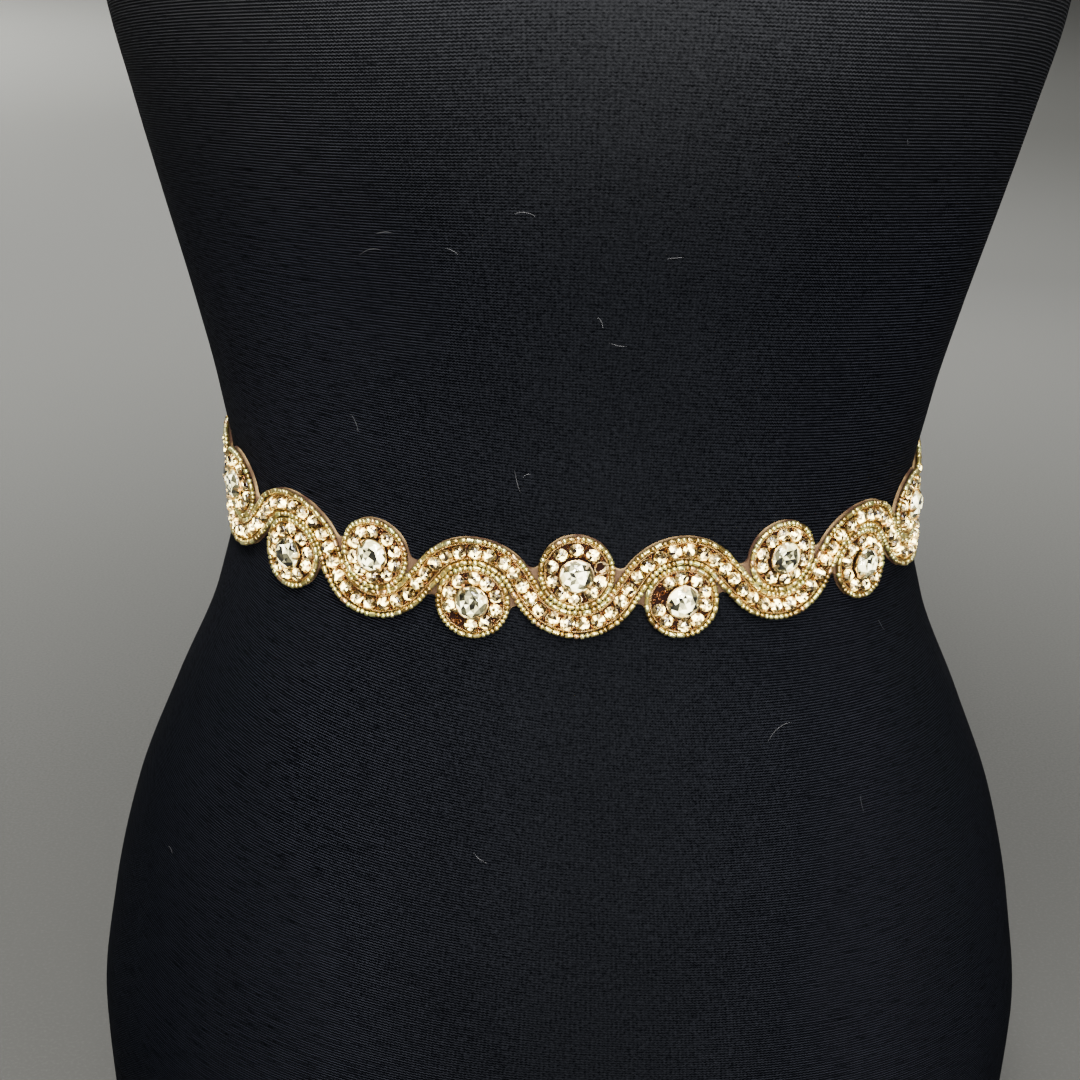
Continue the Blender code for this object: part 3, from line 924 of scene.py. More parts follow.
@dataclass(frozen=True)
class ChatonCut:
    """A small round stone of unit radius and height, with a dished table and one ring of facets.

    The table's eight corners stand between the girdle's sixteen, so three facets fall from each.
    """

    table: float = 0.60
    dip: float = 0.05
    girdle_height: float = 0.50
    foot: float = 0.88

    def shape(self) -> Shape:
        """Works out the stone.

        Returns:
            The stone, closed, its faces facing out.
        """
        rim = ring_points(1.0, SIXTEEN * np.pi / 8, self.girdle_height)
        points = np.concatenate(
            [
                [[0, 0, 1 - self.dip]],
                ring_points(self.table, EIGHT * np.pi / 4, 1.0),
                rim,
                rim * np.array([self.foot, self.foot, 0]),
            ]
        )
        table, girdle, foot = 1 + EIGHT, 9 + SIXTEEN, 25 + SIXTEEN
        after, low, middle = table[AFTER_EIGHT], girdle[::2], girdle[1::2]
        triangles = [
            facets(0, table, after),
            facets(table, low, middle),
            facets(table, middle, after),
            facets(after, middle, low[AFTER_EIGHT]),
        ]
        wall = facets(girdle, foot, foot[AFTER_SIXTEEN], girdle[AFTER_SIXTEEN])
        return Shape(points, [np.concatenate(triangles), wall, foot[None, ::-1]])


@dataclass(frozen=True)
class FoilLight:
    """The painted reflection that a foiled stone sends back: a level for each facet, turned into a tone.

    The level is mean + swing · cos(facet's bearing - the bearing of the stone's painted light) +
    noise, with one mean and swing for the table's facets and one for the crown's, whose bearing is
    ahead by lead.
    Noise is shared by the facets of one eighth of the round; each facet's own is spark times it.
    """

    table_mean: float = 0.62
    table_swing: float = 0.42
    crown_mean: float = 0.48
    crown_swing: float = 0.40
    noise: float = 0.20
    lead: float = 1.3
    spark: float = 1.3
    # The tones from the darkest level to the brightest.
    ladder: tuple[Colour, ...] = (
        (0.010, 0.004, 0.0015), (0.070, 0.044, 0.014), (0.30, 0.24, 0.10), (0.84, 0.77, 0.48),
        (1.00, 0.97, 0.78),
    )
    # The share of a stone's height above which a facet belongs to its table.
    table_from: float = 0.93

    def tones(self, shape: Shape, count: int, rng: Draws) -> Array:
        """A tone for every facet of every stone.

        Args:
            shape: The stone.
            count: How many stones there are.
            rng: The draws for bearings and noise.

        Returns:
            Colours as (stone, facet, 3).
        """
        middles = np.concatenate([shape.points[face].mean(1) for face in shape.faces])
        bearing = np.arctan2(middles[:, 1], middles[:, 0])
        on_table = middles[:, 2] > self.table_from
        sector = (np.floor(bearing / (np.pi / 4)).astype(int) % 8) + 8 * on_table
        own = rng.uniform(0, 2 * np.pi, (count, 1))
        swing = np.where(on_table, self.table_swing, self.crown_swing)
        swing = swing * np.cos(bearing - own - np.where(on_table, 0.0, self.lead))
        level = np.where(on_table, self.table_mean, self.crown_mean) + swing
        level = level + rng.normal(0, self.noise, (count, 16))[:, sector]
        level = level + rng.normal(0, self.noise * self.spark, level.shape)
        return read_rows(level, np.linspace(0, 1, len(self.ladder)), np.array(self.ladder))


@dataclass(frozen=True)
class ClawCup:
    """A metal cup with four claws that fold over the edge of a stone of unit radius and height."""

    rim: float = 1.04
    foot: float = 0.80
    rim_height: float = 0.47
    inside: Rows = ((1.04 - 0.10, 0.47), (1.04 - 0.26, 0.10), (0.1, 0.07))
    sides: int = 12
    # A claw's outer and inner line as (distance, height), and its half width at each point.
    outer: Rows = ((1.05, 0.24), (1.14, 0.72), (0.80, 1.00))
    inner: Rows = ((0.95, 0.24), (1.00, 0.62), (0.76, 0.86))
    taper: tuple[float, ...] = (1.0, 0.9, 0.55)
    claw_width: float = 0.27

    def cup(self, empty: bool) -> Shape:
        """The cup: a frustum hidden under its stone or, without a stone, open down to its floor."""
        wall = [(self.foot, 0.0), (self.rim, self.rim_height)]
        return turned(np.array([*wall, *(self.inside if empty else ())]), (1 + empty) * self.sides)

    def claw(self, angle: float) -> Shape:
        """One claw: a tapering strip from the cup's rim, out and up and over onto the crown.

        Args:
            angle: Where it stands round the cup.

        Returns:
            The claw as a tube of four-sided rings.
        """
        out, side = np.array([np.cos(angle), np.sin(angle)]), np.array([-np.sin(angle), np.cos(angle)])
        width = self.claw_width * np.array(self.taper)[:, None]
        rings = []
        for edge, sign in ((self.outer, -1), (self.outer, 1), (self.inner, 1), (self.inner, -1)):
            reach, height = np.array(edge).T[..., None]
            rings.append(np.concatenate([reach * out + sign * width * side, height], 1))
        return tube(np.stack(rings, 1), np.arange(3.0), np.arange(5.0))

    def shape(self, empty: bool = False) -> Shape:
        """The cup, whole or empty, and its four claws."""
        return merged([self.cup(empty)] + [self.claw(np.pi / 4 + k * np.pi / 2) for k in range(4)])


@dataclass(frozen=True)
class GlassBead:
    """A bead of unit length and radius threaded along its first axis."""

    shoulder: float = 0.24
    mouth: float = 0.46
    sides: int = 8

    def shape(self) -> Shape:
        """Turns the bead's profile about its thread.

        Returns:
            The bead: mouth, shoulder, shoulder, mouth.
        """
        end, full = self.mouth, self.shoulder
        body = turned(np.array([[end, -0.5], [1, -full], [1, full], [end, 0.5]]), self.sides)
        body.points = body.points[:, [2, 0, 1]]
        return body


# ---- the form and the flat pattern
@dataclass(frozen=True)
class FormShape:
    """The dress form's skin as a function of the angle round it and the height."""

    # Height, half width, front depth, back depth, exponent of the oval.
    sections: Rows = (
        (0, 170, 95, 107, 2.20), (40, 176, 98, 114, 2.20), (90, 178, 101, 119, 2.20),
        (135, 172, 101, 118, 2.15), (180, 161, 99, 111, 2.10), (220, 145, 95, 101, 2.05),
        (260, 128, 89, 90, 2.00), (300, 120, 86, 82, 2.00), (334, 125, 87, 82, 2.00),
        (366, 132, 91, 87, 2.05), (402, 141, 96, 93, 2.10), (435, 149, 100, 98, 2.15),
        (466, 156, 102, 101, 2.20), (500, 160, 100, 103, 2.20), (550, 164, 90, 102, 2.20),
        (600, 168, 75, 96, 2.20), (630, 166, 65, 86, 2.20), (652, 153, 59, 75, 2.15),
        (672, 122, 55, 66, 2.05), (690, 84, 52, 59, 2.00), (708, 63, 50, 54, 2.00),
        (740, 58, 48, 52, 2.00),
    )
    # Distance from the middle, height, how proud, how broad, which side.
    mounds: tuple[tuple[object, ...], ...] = (
        (78, 470, 25, 44, Facing.FRONT), (72, 128, 13, 52, Facing.BACK),
        (78, 560, 5, 46, Facing.BACK),
    )
    top: float = 740 * MM

    def column(self, height: Array, index: int) -> Array:
        """A column of the sections at any height, by a monotone cubic through its rows.

        Args:
            height: Heights in metres.
            index: The column's number.

        Returns:
            The column there. Each span is the Hermite cubic whose end slopes are the weighted
            harmonic mean of the slopes on either side.
        """
        table = np.array(self.sections, float)
        knots, values = table[:, 0] * MM, table[:, index]
        step = np.diff(knots)
        rise = np.diff(values) / step
        slope = np.zeros_like(values)
        ahead, behind = 2 * step[1:] + step[:-1], step[1:] + 2 * step[:-1]
        turning = rise[:-1] * rise[1:] <= 0
        safe = np.where(turning[:, None], 1.0, np.stack([rise[:-1], rise[1:]], -1))
        mean = (ahead + behind) / (ahead / safe[:, 0] + behind / safe[:, 1])
        slope[1:-1] = np.where(turning, 0, mean)
        slope[0], slope[-1] = rise[0], rise[-1]
        at = np.clip(np.searchsorted(knots, height) - 1, 0, len(step) - 1)
        part = (height - knots[at]) / step[at]
        return (
            (1 + 2 * part) * (1 - part) ** 2 * values[at]
            + part * (1 - part) ** 2 * step[at] * slope[at]
            + part**2 * (3 - 2 * part) * values[at + 1]
            + part**2 * (part - 1) * step[at] * slope[at + 1]
        )

    def mound_depth(self, x: Array, height: Array, side: Facing) -> Array:
        """How far the mounds of one side push the skin out.

        Args:
            x: Distances from the form's middle, sideways.
            height: Heights.
            side: FRONT or BACK.

        Returns:
            The sum of a Gaussian bell for each mound and its mirror image.
        """
        depth = np.zeros(np.broadcast(x, height).shape)
        for across, middle, out, spread, where in self.mounds:
            for centre in (-across * MM, across * MM):
                distance2 = (x - centre) ** 2 + (height - middle * MM) ** 2
                bell = out * MM * np.exp(-distance2 / (2 * (spread * MM) ** 2))
                depth = depth + (bell if where is side else 0)
        return depth

    def skin(self, angle: Array, height: Array) -> Array:
        """Points of the skin: an oval |sin|, |cos| to the power 2 / exponent, plus the mounds.

        Args:
            angle: Angles round the form from the centre front, growing towards +X.
            height: Heights.

        Returns:
            Points as (..., 3).
        """
        angle, height = np.broadcast_arrays(np.asarray(angle, float), np.asarray(height, float))
        half_width, front, back = (self.column(height, k) * MM for k in (1, 2, 3))
        power = 2 / self.column(height, 4)
        cosine = np.cos(angle)
        x = half_width * signed_power(np.sin(angle), power)
        oval, fade = np.abs(cosine) ** power, np.abs(cosine)
        ahead = -(front * oval + fade * self.mound_depth(x, height, Facing.FRONT))
        behind = back * oval + fade * self.mound_depth(x, height, Facing.BACK)
        return np.stack([x, np.where(cosine > 0, ahead, behind), height], -1)

    def normal(self, angle: Array, height: Array) -> Array:
        """Unit normals of the skin: the cross product of its slopes round and up."""
        around, upward = (
            self.skin(angle + turn, height + rise) - self.skin(angle - turn, height - rise)
            for turn, rise in ((1e-3, 0), (0, 0.5 * MM))
        )
        return unit(np.cross(around, upward))

    def back_depth(self, x: Array, height: Array) -> Array:
        """The y of the form's back.

        Args:
            x: Distances from the form's middle, sideways.
            height: Heights.

        Returns:
            The y there: the oval's sine gives its cosine and so its depth.
        """
        half_width = self.column(height, 1) * MM
        square = self.column(height, 4)
        sine = np.clip(np.abs(x) / half_width, 0, 1) ** (square / 2)
        cosine = np.sqrt(1 - sine**2)
        oval = self.column(height, 3) * MM * cosine ** (2 / square)
        return oval + cosine * self.mound_depth(x, height, Facing.BACK)


@dataclass
class WaistWrap:
    """Carries the sash's flat pattern onto the form.

    Along runs round the waist from the centre front towards +X, up is measured from the sash's
    middle line, and out is the distance from the skin along its normal.
    """

    form: FormShape
    height: float = 300 * MM
    front_drop: float = 10 * MM
    side_tilt: float = -1 * MM
    samples: int = 2881

    def __post_init__(self) -> None:
        """Measures the middle line's length at every angle."""
        self.angles = np.linspace(-np.pi, np.pi, self.samples)
        lengths = travel(self.form.skin(self.angles, self.middle(self.angles)))
        self.lengths = lengths - lengths[self.samples // 2]

    def middle(self, angle: Array) -> Array:
        """The middle line's height: lowest at the front, highest at the back."""
        return self.height - self.front_drop * np.cos(angle) + self.side_tilt * np.sin(angle)

    def half_round(self, side: Hand) -> float:
        """The length from the centre front to the centre back on one side."""
        return self.lengths[-1] if side is Hand.RIGHT else -self.lengths[0]

    def place(self, along: Array, up: Array, out: Array) -> Array:
        """Pattern to world: skin point plus out times the skin's normal.

        Args:
            along: Distances round the waist.
            up: Distances above the middle line.
            out: Distances from the skin.

        Returns:
            Points as (..., 3).
        """
        along, up, out = np.broadcast_arrays(*(np.asarray(v, float) for v in (along, up, out)))
        angle = np.interp(along, self.lengths, self.angles)
        height = self.middle(angle) + up
        return self.form.skin(angle, height) + out[..., None] * self.form.normal(angle, height)


@dataclass
class SashPattern:
    """The jewelled pattern laid flat: rosettes in a row, and a band that winds between them."""

    wrap: WaistWrap
    # Along, up, the side of the band it lies on, and how far it is stretched away from the band.
    rosettes: tuple[tuple[object, ...], ...] = (
        (-168.6, -4.6, Bank.BELOW, 0.0), (-134.4, 7.0, Bank.ABOVE, 0.0),
        (-100.6, -5.1, Bank.BELOW, 0.0), (-67.4, 4.0, Bank.ABOVE, 0.0),
        (-33.4, -6.2, Bank.BELOW, 0.2), (-0.9, 5.4, Bank.ABOVE, 1.1), (32.8, -4.2, Bank.BELOW, 0.7),
        (67.7, 6.4, Bank.ABOVE, 0.0), (101.5, -4.5, Bank.BELOW, 0.0), (135.0, 4.8, Bank.ABOVE, 0.0),
        (169.0, -5.2, Bank.BELOW, 0.0),
    )
    rosette_radius: float = 12.0 * MM
    gap: float = 0.3 * MM
    band_half: float = 4.6 * MM
    # How far the cloth's edge lies beyond the beadwork's.
    margin: float = -0.15 * MM
    web_radius: float = 2.4 * MM
    end_heading: float = np.radians(100)
    tab_length: float = 9 * MM
    tab_half: float = 11 * MM
    skin_gap: float = 0.3 * MM
    backing_thick: float = 1.2 * MM
    ribbon_thick: float = 1.0 * MM
    # Where the cloth starts and ends its climb over the ribbon, back from the right tab's start.
    climb: Pair = (12 * MM, 2 * MM)
    nudge: float = 0.2 * MM
    arc_points: int = 48
    edge_points: int = 1601

    def __post_init__(self) -> None:
        """Works out the rosettes' centres, the band's circle and where the end tabs start."""
        self.centres = np.array([row[:2] for row in self.rosettes], float) * MM
        self.sides = np.array([row[2].value for row in self.rosettes], float)
        self.stretches = np.array([row[3] for row in self.rosettes]) * MM
        self.band_radius = self.rosette_radius + self.gap + self.band_half
        reach = np.sign(self.centres[[0, -1], 0]) * (self.band_radius + self.band_half)
        self.tab_start = self.centres[[0, -1], 0] + reach
        self.start = self.tab_start[0] - self.tab_length
        self.end = self.tab_start[1] + self.tab_length
        self.fine = np.linspace(self.start, self.end, self.edge_points)

    def band_line(self, step: float) -> tuple[Array, Array]:
        """The band's centre line: an arc round each rosette and straight runs between arcs.

        Args:
            step: The distance between points.

        Returns:
            Flat points as (n, 2) and the unit normals that point up from the line. A straight run,
            which touches two circles of radius r and centre distance d on opposite sides, leans from
            their centre line by the angle whose sine is 2 r / d.
        """
        gaps = np.diff(self.centres, axis=0)
        turn = np.arcsin(2 * self.band_radius / np.linalg.norm(gaps, axis=1))
        between = np.arctan2(gaps[:, 1], gaps[:, 0]) + self.sides[:-1] * turn
        arrive = np.concatenate([[self.end_heading], between])
        leave = np.concatenate([between, [-self.end_heading]])
        heading = np.linspace(arrive, leave, self.arc_points, axis=1)
        touch = np.stack([np.sin(heading), -np.cos(heading)], -1)
        line = self.centres[:, None] + self.band_radius * self.sides[:, None, None] * touch
        return resample(line.reshape(-1, 2), step)

    def tab_at(self, side: Hand) -> float:
        """How far the end tab on one side starts from the centre front."""
        return abs(self.tab_start[1 if side is Hand.RIGHT else 0])

    def lift(self, along: Array) -> Array:
        """How far the jewelled cloth rises at its ends to pass over the ribbon under it."""
        start, end = (self.tab_start[1] - back for back in self.climb)
        return (self.ribbon_thick + self.gap) * smooth_step(np.abs(along), start, end)

    def face(self, along: Array) -> Array:
        """The distance from the skin to where the beadwork sits on the cloth."""
        return self.skin_gap + self.backing_thick + self.lift(along)

    def on_cloth(self, along: Array, up: Array, height: Array) -> Array:
        """World points at a height above the cloth's face."""
        return self.wrap.place(along, up, self.face(along) + height)

    def places(self, spots: Array, heading: Array, height: Array | float) -> Places:
        """Frames for rigid things at a height above the cloth's face.

        Args:
            spots: Flat points as (n, 2).
            heading: Flat unit directions as (n, 2).
            height: The height.

        Returns:
            Places whose along follows the heading, with out square to the skin.
        """
        place, out = self.wrap.place, self.face(spots[:, 0]) + height
        origin = place(*spots.T, out)
        along = place(*(spots + heading * self.nudge).T, out) - origin
        normal = unit(place(*spots.T, out + self.nudge) - origin)
        along = unit(along - np.sum(along * normal, 1, keepdims=True) * normal)
        return Places(origin, np.stack([along, np.cross(normal, along), normal], 1))

    def ring(self, index: int, radius: Array | float, angle: Array) -> Array:
        """Flat points round a rosette, whose free side is stretched a little.

        Args:
            index: Which rosette.
            radius: The ring's radius.
            angle: Angles round it, 0 along and a quarter turn up.

        Returns:
            Centre plus radius (1 + stretch / full radius · max(0, side · sin angle)) that way.
        """
        away = np.maximum(0, self.sides[index] * np.sin(angle))
        reach = radius * (1 + self.stretches[index] / self.rosette_radius * away)
        return self.centres[index] + reach[..., None] * np.stack([np.cos(angle), np.sin(angle)], -1)

    def outline(self, along: Array, bank: Bank) -> Array:
        """The cloth's upper or lower edge.

        Args:
            along: Where to read it.
            bank: ABOVE or BELOW.

        Returns:
            The edge's up: the highest edge of the band's and the rosettes' discs and the tabs,
            closed by a wheel that rolls along it, which leaves a web in each crook.
        """
        fine, sign = self.fine, bank.value
        line, _ = self.band_line(0.5 * MM)
        edges = [disc_top(fine, line[:, 0], sign * line[:, 1], self.band_half + self.margin)]
        for up in (self.centres[:, 1], self.centres[:, 1] + self.sides * self.stretches):
            radius = self.rosette_radius + self.margin
            edges.append(disc_top(fine, self.centres[:, 0], sign * up, radius))
        left, right = self.tab_start[0] + self.tab_length, self.tab_start[1] - self.tab_length
        edges.append(np.where((fine < left) | (fine > right), self.tab_half, -np.inf))
        edge = rolled(fine, np.max(edges, axis=0), self.web_radius)
        return sign * np.interp(along, fine, edge)


def left_of(heading: Array) -> Array:
    """Flat directions turned a quarter to their left."""
    return np.stack([-heading[..., 1], heading[..., 0]], -1)


def resample(line: Array, step: float) -> tuple[Array, Array]:
    """A flat line with points an even step apart.

    Args:
        line: Points as (n, 2).
        step: The step, stretched a little so that it ends on the last point.

    Returns:
        The points, and the unit normals to their left.
    """
    length = travel(line)
    points = read_rows(np.linspace(0, length[-1], round(length[-1] / step) + 1), length, line)
    return points, left_of(unit(np.gradient(points, axis=0)))


def disc_top(along: Array, centre_along: Array, centre_up: Array, radius: float) -> Array:
    """The highest edge, at each along, of discs of one radius: up + √(r² - distance²)."""
    reach = radius**2 - (along[:, None] - centre_along[None, :]) ** 2
    return np.where(reach > 0, centre_up + np.sqrt(np.maximum(reach, 0)), -np.inf).max(1)


def rolled(along: Array, top: Array, radius: float) -> Array:
    """An outline filled in as far as a wheel can roll along it from above.

    Args:
        along: The outline's along.
        top: The outline's up.
        radius: The wheel's radius.

    Returns:
        The filled outline's up, under the wheel where its centre rides lowest.
    """
    gap2 = radius**2 - (along[:, None] - along[None, :]) ** 2
    wheel = np.where(gap2 > 0, np.sqrt(np.maximum(gap2, 0)), -np.inf)
    lifted = (top[None, :] + wheel).max(1)
    return (lifted[None, :] - wheel).min(1)


# ---- sub-assemblies
@dataclass
class DressForm:
    """The limbless torso in its jersey cover, and the disc that closes its neck."""

    shape: FormShape
    around: int = 224
    ring_step: float = 3.4 * MM
    foot_radius: float = 2.5 * MM
    foot_reach: float = 140 * MM
    cap_around: int = 96
    cap_thick: float = 7 * MM
    cap_inset: float = 3 * MM
    cap_gap: float = 0.3 * MM
    cap_edge: float = 1.75 * MM
    # The cap's foot before its rounded edge and its dished top after it: inset and rise in
    # millimetres, the top's rise counted from the cap's full height.
    cap_foot: Rows = ((1.2, 0), (0.3, 0), (0, 0.6))
    cap_dish: Rows = ((9, 0), (9.6, -0.7), (30, -0.7))

    def build_jersey(self) -> Piece:
        """Makes the jersey cover: the skin on a grid of angles and heights, rounded at the foot.

        Returns:
            The cover, its map counting stitches round and courses up.
        """
        top, finish = self.shape.top, BlackJersey()
        heights = np.linspace(self.foot_radius, top, round(top / self.ring_step))
        rings = self.shape.skin(round_angles(self.around), heights[:, None])
        bend = np.radians([90, 60, 30])[:, None, None]
        foot = rings[:1] - self.foot_radius * np.array([0, 0, 1]) * np.sin(bend)
        inward = 1 - self.foot_radius * (1 - np.cos(bend)) / self.foot_reach
        rings = np.concatenate([foot * np.where([True, True, False], inward, 1.0), rings])
        climb = np.linalg.norm(np.diff(rings, axis=0), axis=2).mean(1)
        up = np.concatenate([[0], np.cumsum(climb)])
        count = len(rings)
        points = np.concatenate([rings.reshape(-1, 3), [rings[0].mean(0), rings[-1].mean(0)]])
        foot_hub, top_hub = count * self.around, count * self.around + 1
        first = np.arange(self.around)
        after = (first + 1) % self.around
        last = foot_hub - self.around
        ends = [facets(foot_hub, after, first), facets(top_hub, last + first, last + after)]
        around = np.linspace(0, finish.girth, self.around + 1)
        uvs = [grid_uv(around, up[:, None]), *(points[face, :2] for face in ends)]
        shape = Shape(points, [grid_faces(count, self.around), *ends], uvs)
        return make_piece("jersey_form", "jersey", "form", Layer(shape, finish))

    def build_cap(self) -> Piece:
        """Makes the neck's disc.

        Returns:
            The disc: the neck's own oval, shrunk ring by ring over a rounded edge.
        """
        rim = self.shape.skin(round_angles(self.cap_around), self.shape.top)
        middle = rim.mean(0)
        reach = np.linalg.norm(rim - middle, axis=1).mean()
        bend = np.radians(np.linspace(0, 90, 7))
        inward = self.cap_edge * (1 - np.cos(bend))
        edge = np.stack([inward, self.cap_thick - self.cap_edge * (1 - np.sin(bend))], -1)
        dish = np.array(self.cap_dish) * MM + [0, self.cap_thick]
        profile = np.concatenate([np.array(self.cap_foot) * MM, edge, dish])
        rings = middle + (rim - middle)[None] * (1 - (self.cap_inset + profile[:, :1, None]) / reach)
        rings[:, :, 2] = self.shape.top + self.cap_gap + profile[:, 1:]
        run = np.arange(1.0, len(rings) + 1) * MM
        shape = tube(rings, run, np.linspace(0, 1, self.cap_around + 1))
        return make_piece("neck_cap_disc", "cap", "neck_cap", Layer(shape, MOULDED_CAP))


@dataclass
class Backing:
    """The cloth under the beadwork, cut close round it, with bare webs in the crooks."""

    pattern: SashPattern
    stations: int = 760
    rows: int = 15
    pucker: float = 0.30 * MM
    pucker_along: float = 1.9 * MM
    pucker_up: float = 1.3 * MM
    rolled_edge: float = 1.1 * MM
    pale_rim: float = 0.3 * MM
    least_out: float = 0.12 * MM
    # Half the band and a rosette's radius, as far as their stitched ground, under painted shade, reaches.
    ground: Pair = (4.3 * MM, 11.7 * MM)
    # How far outside the ground and the beadwork the change to bare cloth starts and ends.
    ground_fade: Pair = (-0.3 * MM, 0.2 * MM)
    bare_fade: Pair = (0.1 * MM, 0.9 * MM)
    edge_power: float = 0.8

    def build(self) -> Piece:
        """Makes the cloth as one wall with a rolled edge.

        Returns:
            The cloth, its sections closer together where an edge is steep. Each is a loop: across
            goes from edge to edge as a cosine, and the upper face falls in a quarter round to the
            lower one within the rolled edge's width.
        """
        pattern, fine = self.pattern, self.pattern.fine
        edges = np.stack([fine, *(pattern.outline(fine, bank) for bank in Bank)], -1)
        length = travel(edges)
        along = np.interp(np.linspace(0, length[-1], self.stations), length, fine)[:, None]
        low, high = pattern.outline(along, Bank.BELOW), pattern.outline(along, Bank.ABOVE)
        turn = round_angles(2 * self.rows)
        up = low + (high - low) * (0.5 - 0.5 * signed_power(np.cos(turn), self.edge_power))
        rim_gap = np.minimum(up - low, high - up)
        rise = np.sqrt(1 - np.clip(1 - rim_gap / self.rolled_edge, 0, 1) ** 2)
        beadwork = self._outside(along, up, pattern.band_half, pattern.rosette_radius)
        bare = smooth_step(beadwork, *self.bare_fade)
        wave = np.sin(along / self.pucker_along) * np.cos(up / self.pucker_up) * self.pucker
        thick = pattern.backing_thick * (0.1 + 0.9 * rise) * (1 - 0.5 * bare)
        out = pattern.skin_gap + pattern.lift(along) + np.where(turn < np.pi, thick, 0)
        out = out + wave * bare * (rim_gap > 0)
        rings = pattern.wrap.place(along, up, np.maximum(out, self.least_out))
        shape = tube(rings, along[:, 0], np.concatenate([up, up[:, :1]], 1))
        # Where the ground takes the painted shade of the beadwork.
        ground = 1 - smooth_step(self._outside(along, up, *self.ground), *self.ground_fade)
        rim = np.clip(1.4 - rim_gap / self.pale_rim, 0, 1)
        shape.masks = np.stack([ground, rim, bare], -1).reshape(-1, 3)
        return make_piece("backing_cloth", "backing_cloth", "backing", Layer(shape, BackingCloth()))

    def _outside(self, along: Array, up: Array, half: float, radius: float) -> Array:
        """How far pattern points lie outside the band and the rosettes.

        Args:
            along: The points' along, as a column.
            up: Their up, a row for each along.
            half: Half the band's width.
            radius: The rosettes' radius.

        Returns:
            The distance to the nearest edge, less than 0 inside.
        """
        line, _ = self.pattern.band_line(1.0 * MM)
        spot = np.stack(np.broadcast_arrays(along, up), -1)[:, :, None]
        to_line, to_centre = (
            np.linalg.norm(spot - middles, axis=-1).min(-1) for middles in (line, self.pattern.centres)
        )
        return np.minimum(to_line - half, to_centre - radius)


@dataclass
class BeadString:
    """Seed beads and short bugles strung along a flat line."""

    pattern: SashPattern
    seed_length: float = 1.65 * MM
    bugle_length: float = 2.6 * MM
    bugle_share: float = 0.36
    radius: float = 0.92 * MM
    seed: GlassBead = GlassBead()
    bugle: GlassBead = GlassBead(shoulder=0.43, mouth=0.66)
    bugle_girth: float = 0.92
    # How much of its stretch of line a bead fills, how far it strays, and how it turns and tips.
    filled: float = 0.95
    stray: float = 0.07 * MM
    turn: float = 0.07
    tip: float = 0.05
    # The spread of the beads' lengths, their middles' heights, their girths and their tones.
    lengths: Pair = (0.86, 1.12)
    heights: Pair = (0.96, 1.14)
    girths: Pair = (0.94, 1.06)
    shades: Pair = (0.82, 1.1)
    tones: tuple[Colour, ...] = (
        (0.80, 0.66, 0.22), (0.95, 0.88, 0.38), (0.40, 0.27, 0.08), (0.74, 0.48, 0.22),
        (0.76, 0.76, 0.28),
    )
    shares: tuple[float, ...] = (0.42, 0.26, 0.22, 0.05, 0.05)

    def build(self, line: Array, rng: Draws) -> Shape:
        """Strings beads along a line until it is full.

        Args:
            line: Flat points, closely spaced.
            rng: The draws that choose each bead and its place.

        Returns:
            Every bead, each at the middle of its own stretch of line.
        """
        length = travel(line)
        most = int(length[-1] / self.seed_length) + 2
        is_bugle = rng.random(most) < self.bugle_share
        sizes = np.where(is_bugle, self.bugle_length, self.seed_length)
        sizes = sizes * rng.uniform(*self.lengths, most)
        ends = np.cumsum(sizes)
        count = int(np.searchsorted(ends, length[-1]))
        sizes, is_bugle = sizes[:count] * length[-1] / ends[count - 1], is_bugle[:count]
        middle = np.cumsum(sizes) - sizes / 2
        spots, before, after = (
            read_rows(middle + sizes * share, length, line) for share in (0.0, -0.45, 0.45)
        )
        heading = unit(after - before)
        spots = spots + left_of(heading) * rng.normal(0, self.stray, count)[:, None]
        places = self.pattern.places(spots, heading, self.radius * rng.uniform(*self.heights, count))
        turn = rng.normal(0, self.turn, count)
        places = places.tipped(turn, 0 * sizes, rng.normal(0, self.tip, count))
        thick = self.radius * np.where(is_bugle, self.bugle_girth, rng.uniform(*self.girths, count))
        scale = np.stack([sizes * self.filled, thick, thick], -1)
        tones = np.array(self.tones)[rng.choice(len(self.tones), count, p=self.shares)]
        tones = tones * rng.uniform(*self.shades, (count, 1))
        strung = []
        for bead, which in ((self.seed, ~is_bugle), (self.bugle, is_bugle)):
            shape = bead.shape()
            faces = sum(len(face) for face in shape.faces)
            own = np.repeat(tones[which][:, None], faces, axis=1)
            strung.append(stamp(shape, places.pick(which), scale[which], own))
        return merged(strung)


@dataclass
class PurlLine:
    """Coiled metal thread couched down along a flat line: a tube with a slow two-ply swell."""

    pattern: SashPattern
    radius: float = 0.38 * MM
    step: float = 0.45 * MM
    sides: int = 7
    ply: float = 1.9 * MM
    swell: float = 0.12

    def build(self, line: Array, height: float = 0.45 * MM, closed: bool = False) -> Shape:
        """Carries the thread's ring along a line.

        Args:
            line: Flat points.
            height: The thread's middle above the cloth.
            closed: Whether the line is a ring, whose last point is its first.

        Returns:
            The thread. Its radius is r (1 + swell cos 2(angle - turn)), turning along the line.
        """
        points, normals = resample(line, self.step)
        if closed:
            normals[0] = normals[-1] = unit(normals[0] + normals[-1])
        along = np.linspace(0, self.step * (len(points) - 1), len(points))
        angle = round_angles(self.sides)
        twist = 2 * np.pi * along[:, None] / self.ply
        reach = self.radius * (1 + self.swell * np.cos(2 * angle - twist))
        spot = points[:, None] + normals[:, None] * (reach * np.cos(angle))[..., None]
        out = height + reach * np.sin(angle)
        rings = self.pattern.on_cloth(spot[..., 0], spot[..., 1], out)
        around = np.linspace(0, 2 * np.pi * self.radius, self.sides + 1)
        return tube(rings[:-1] if closed else rings, along, around, closed)


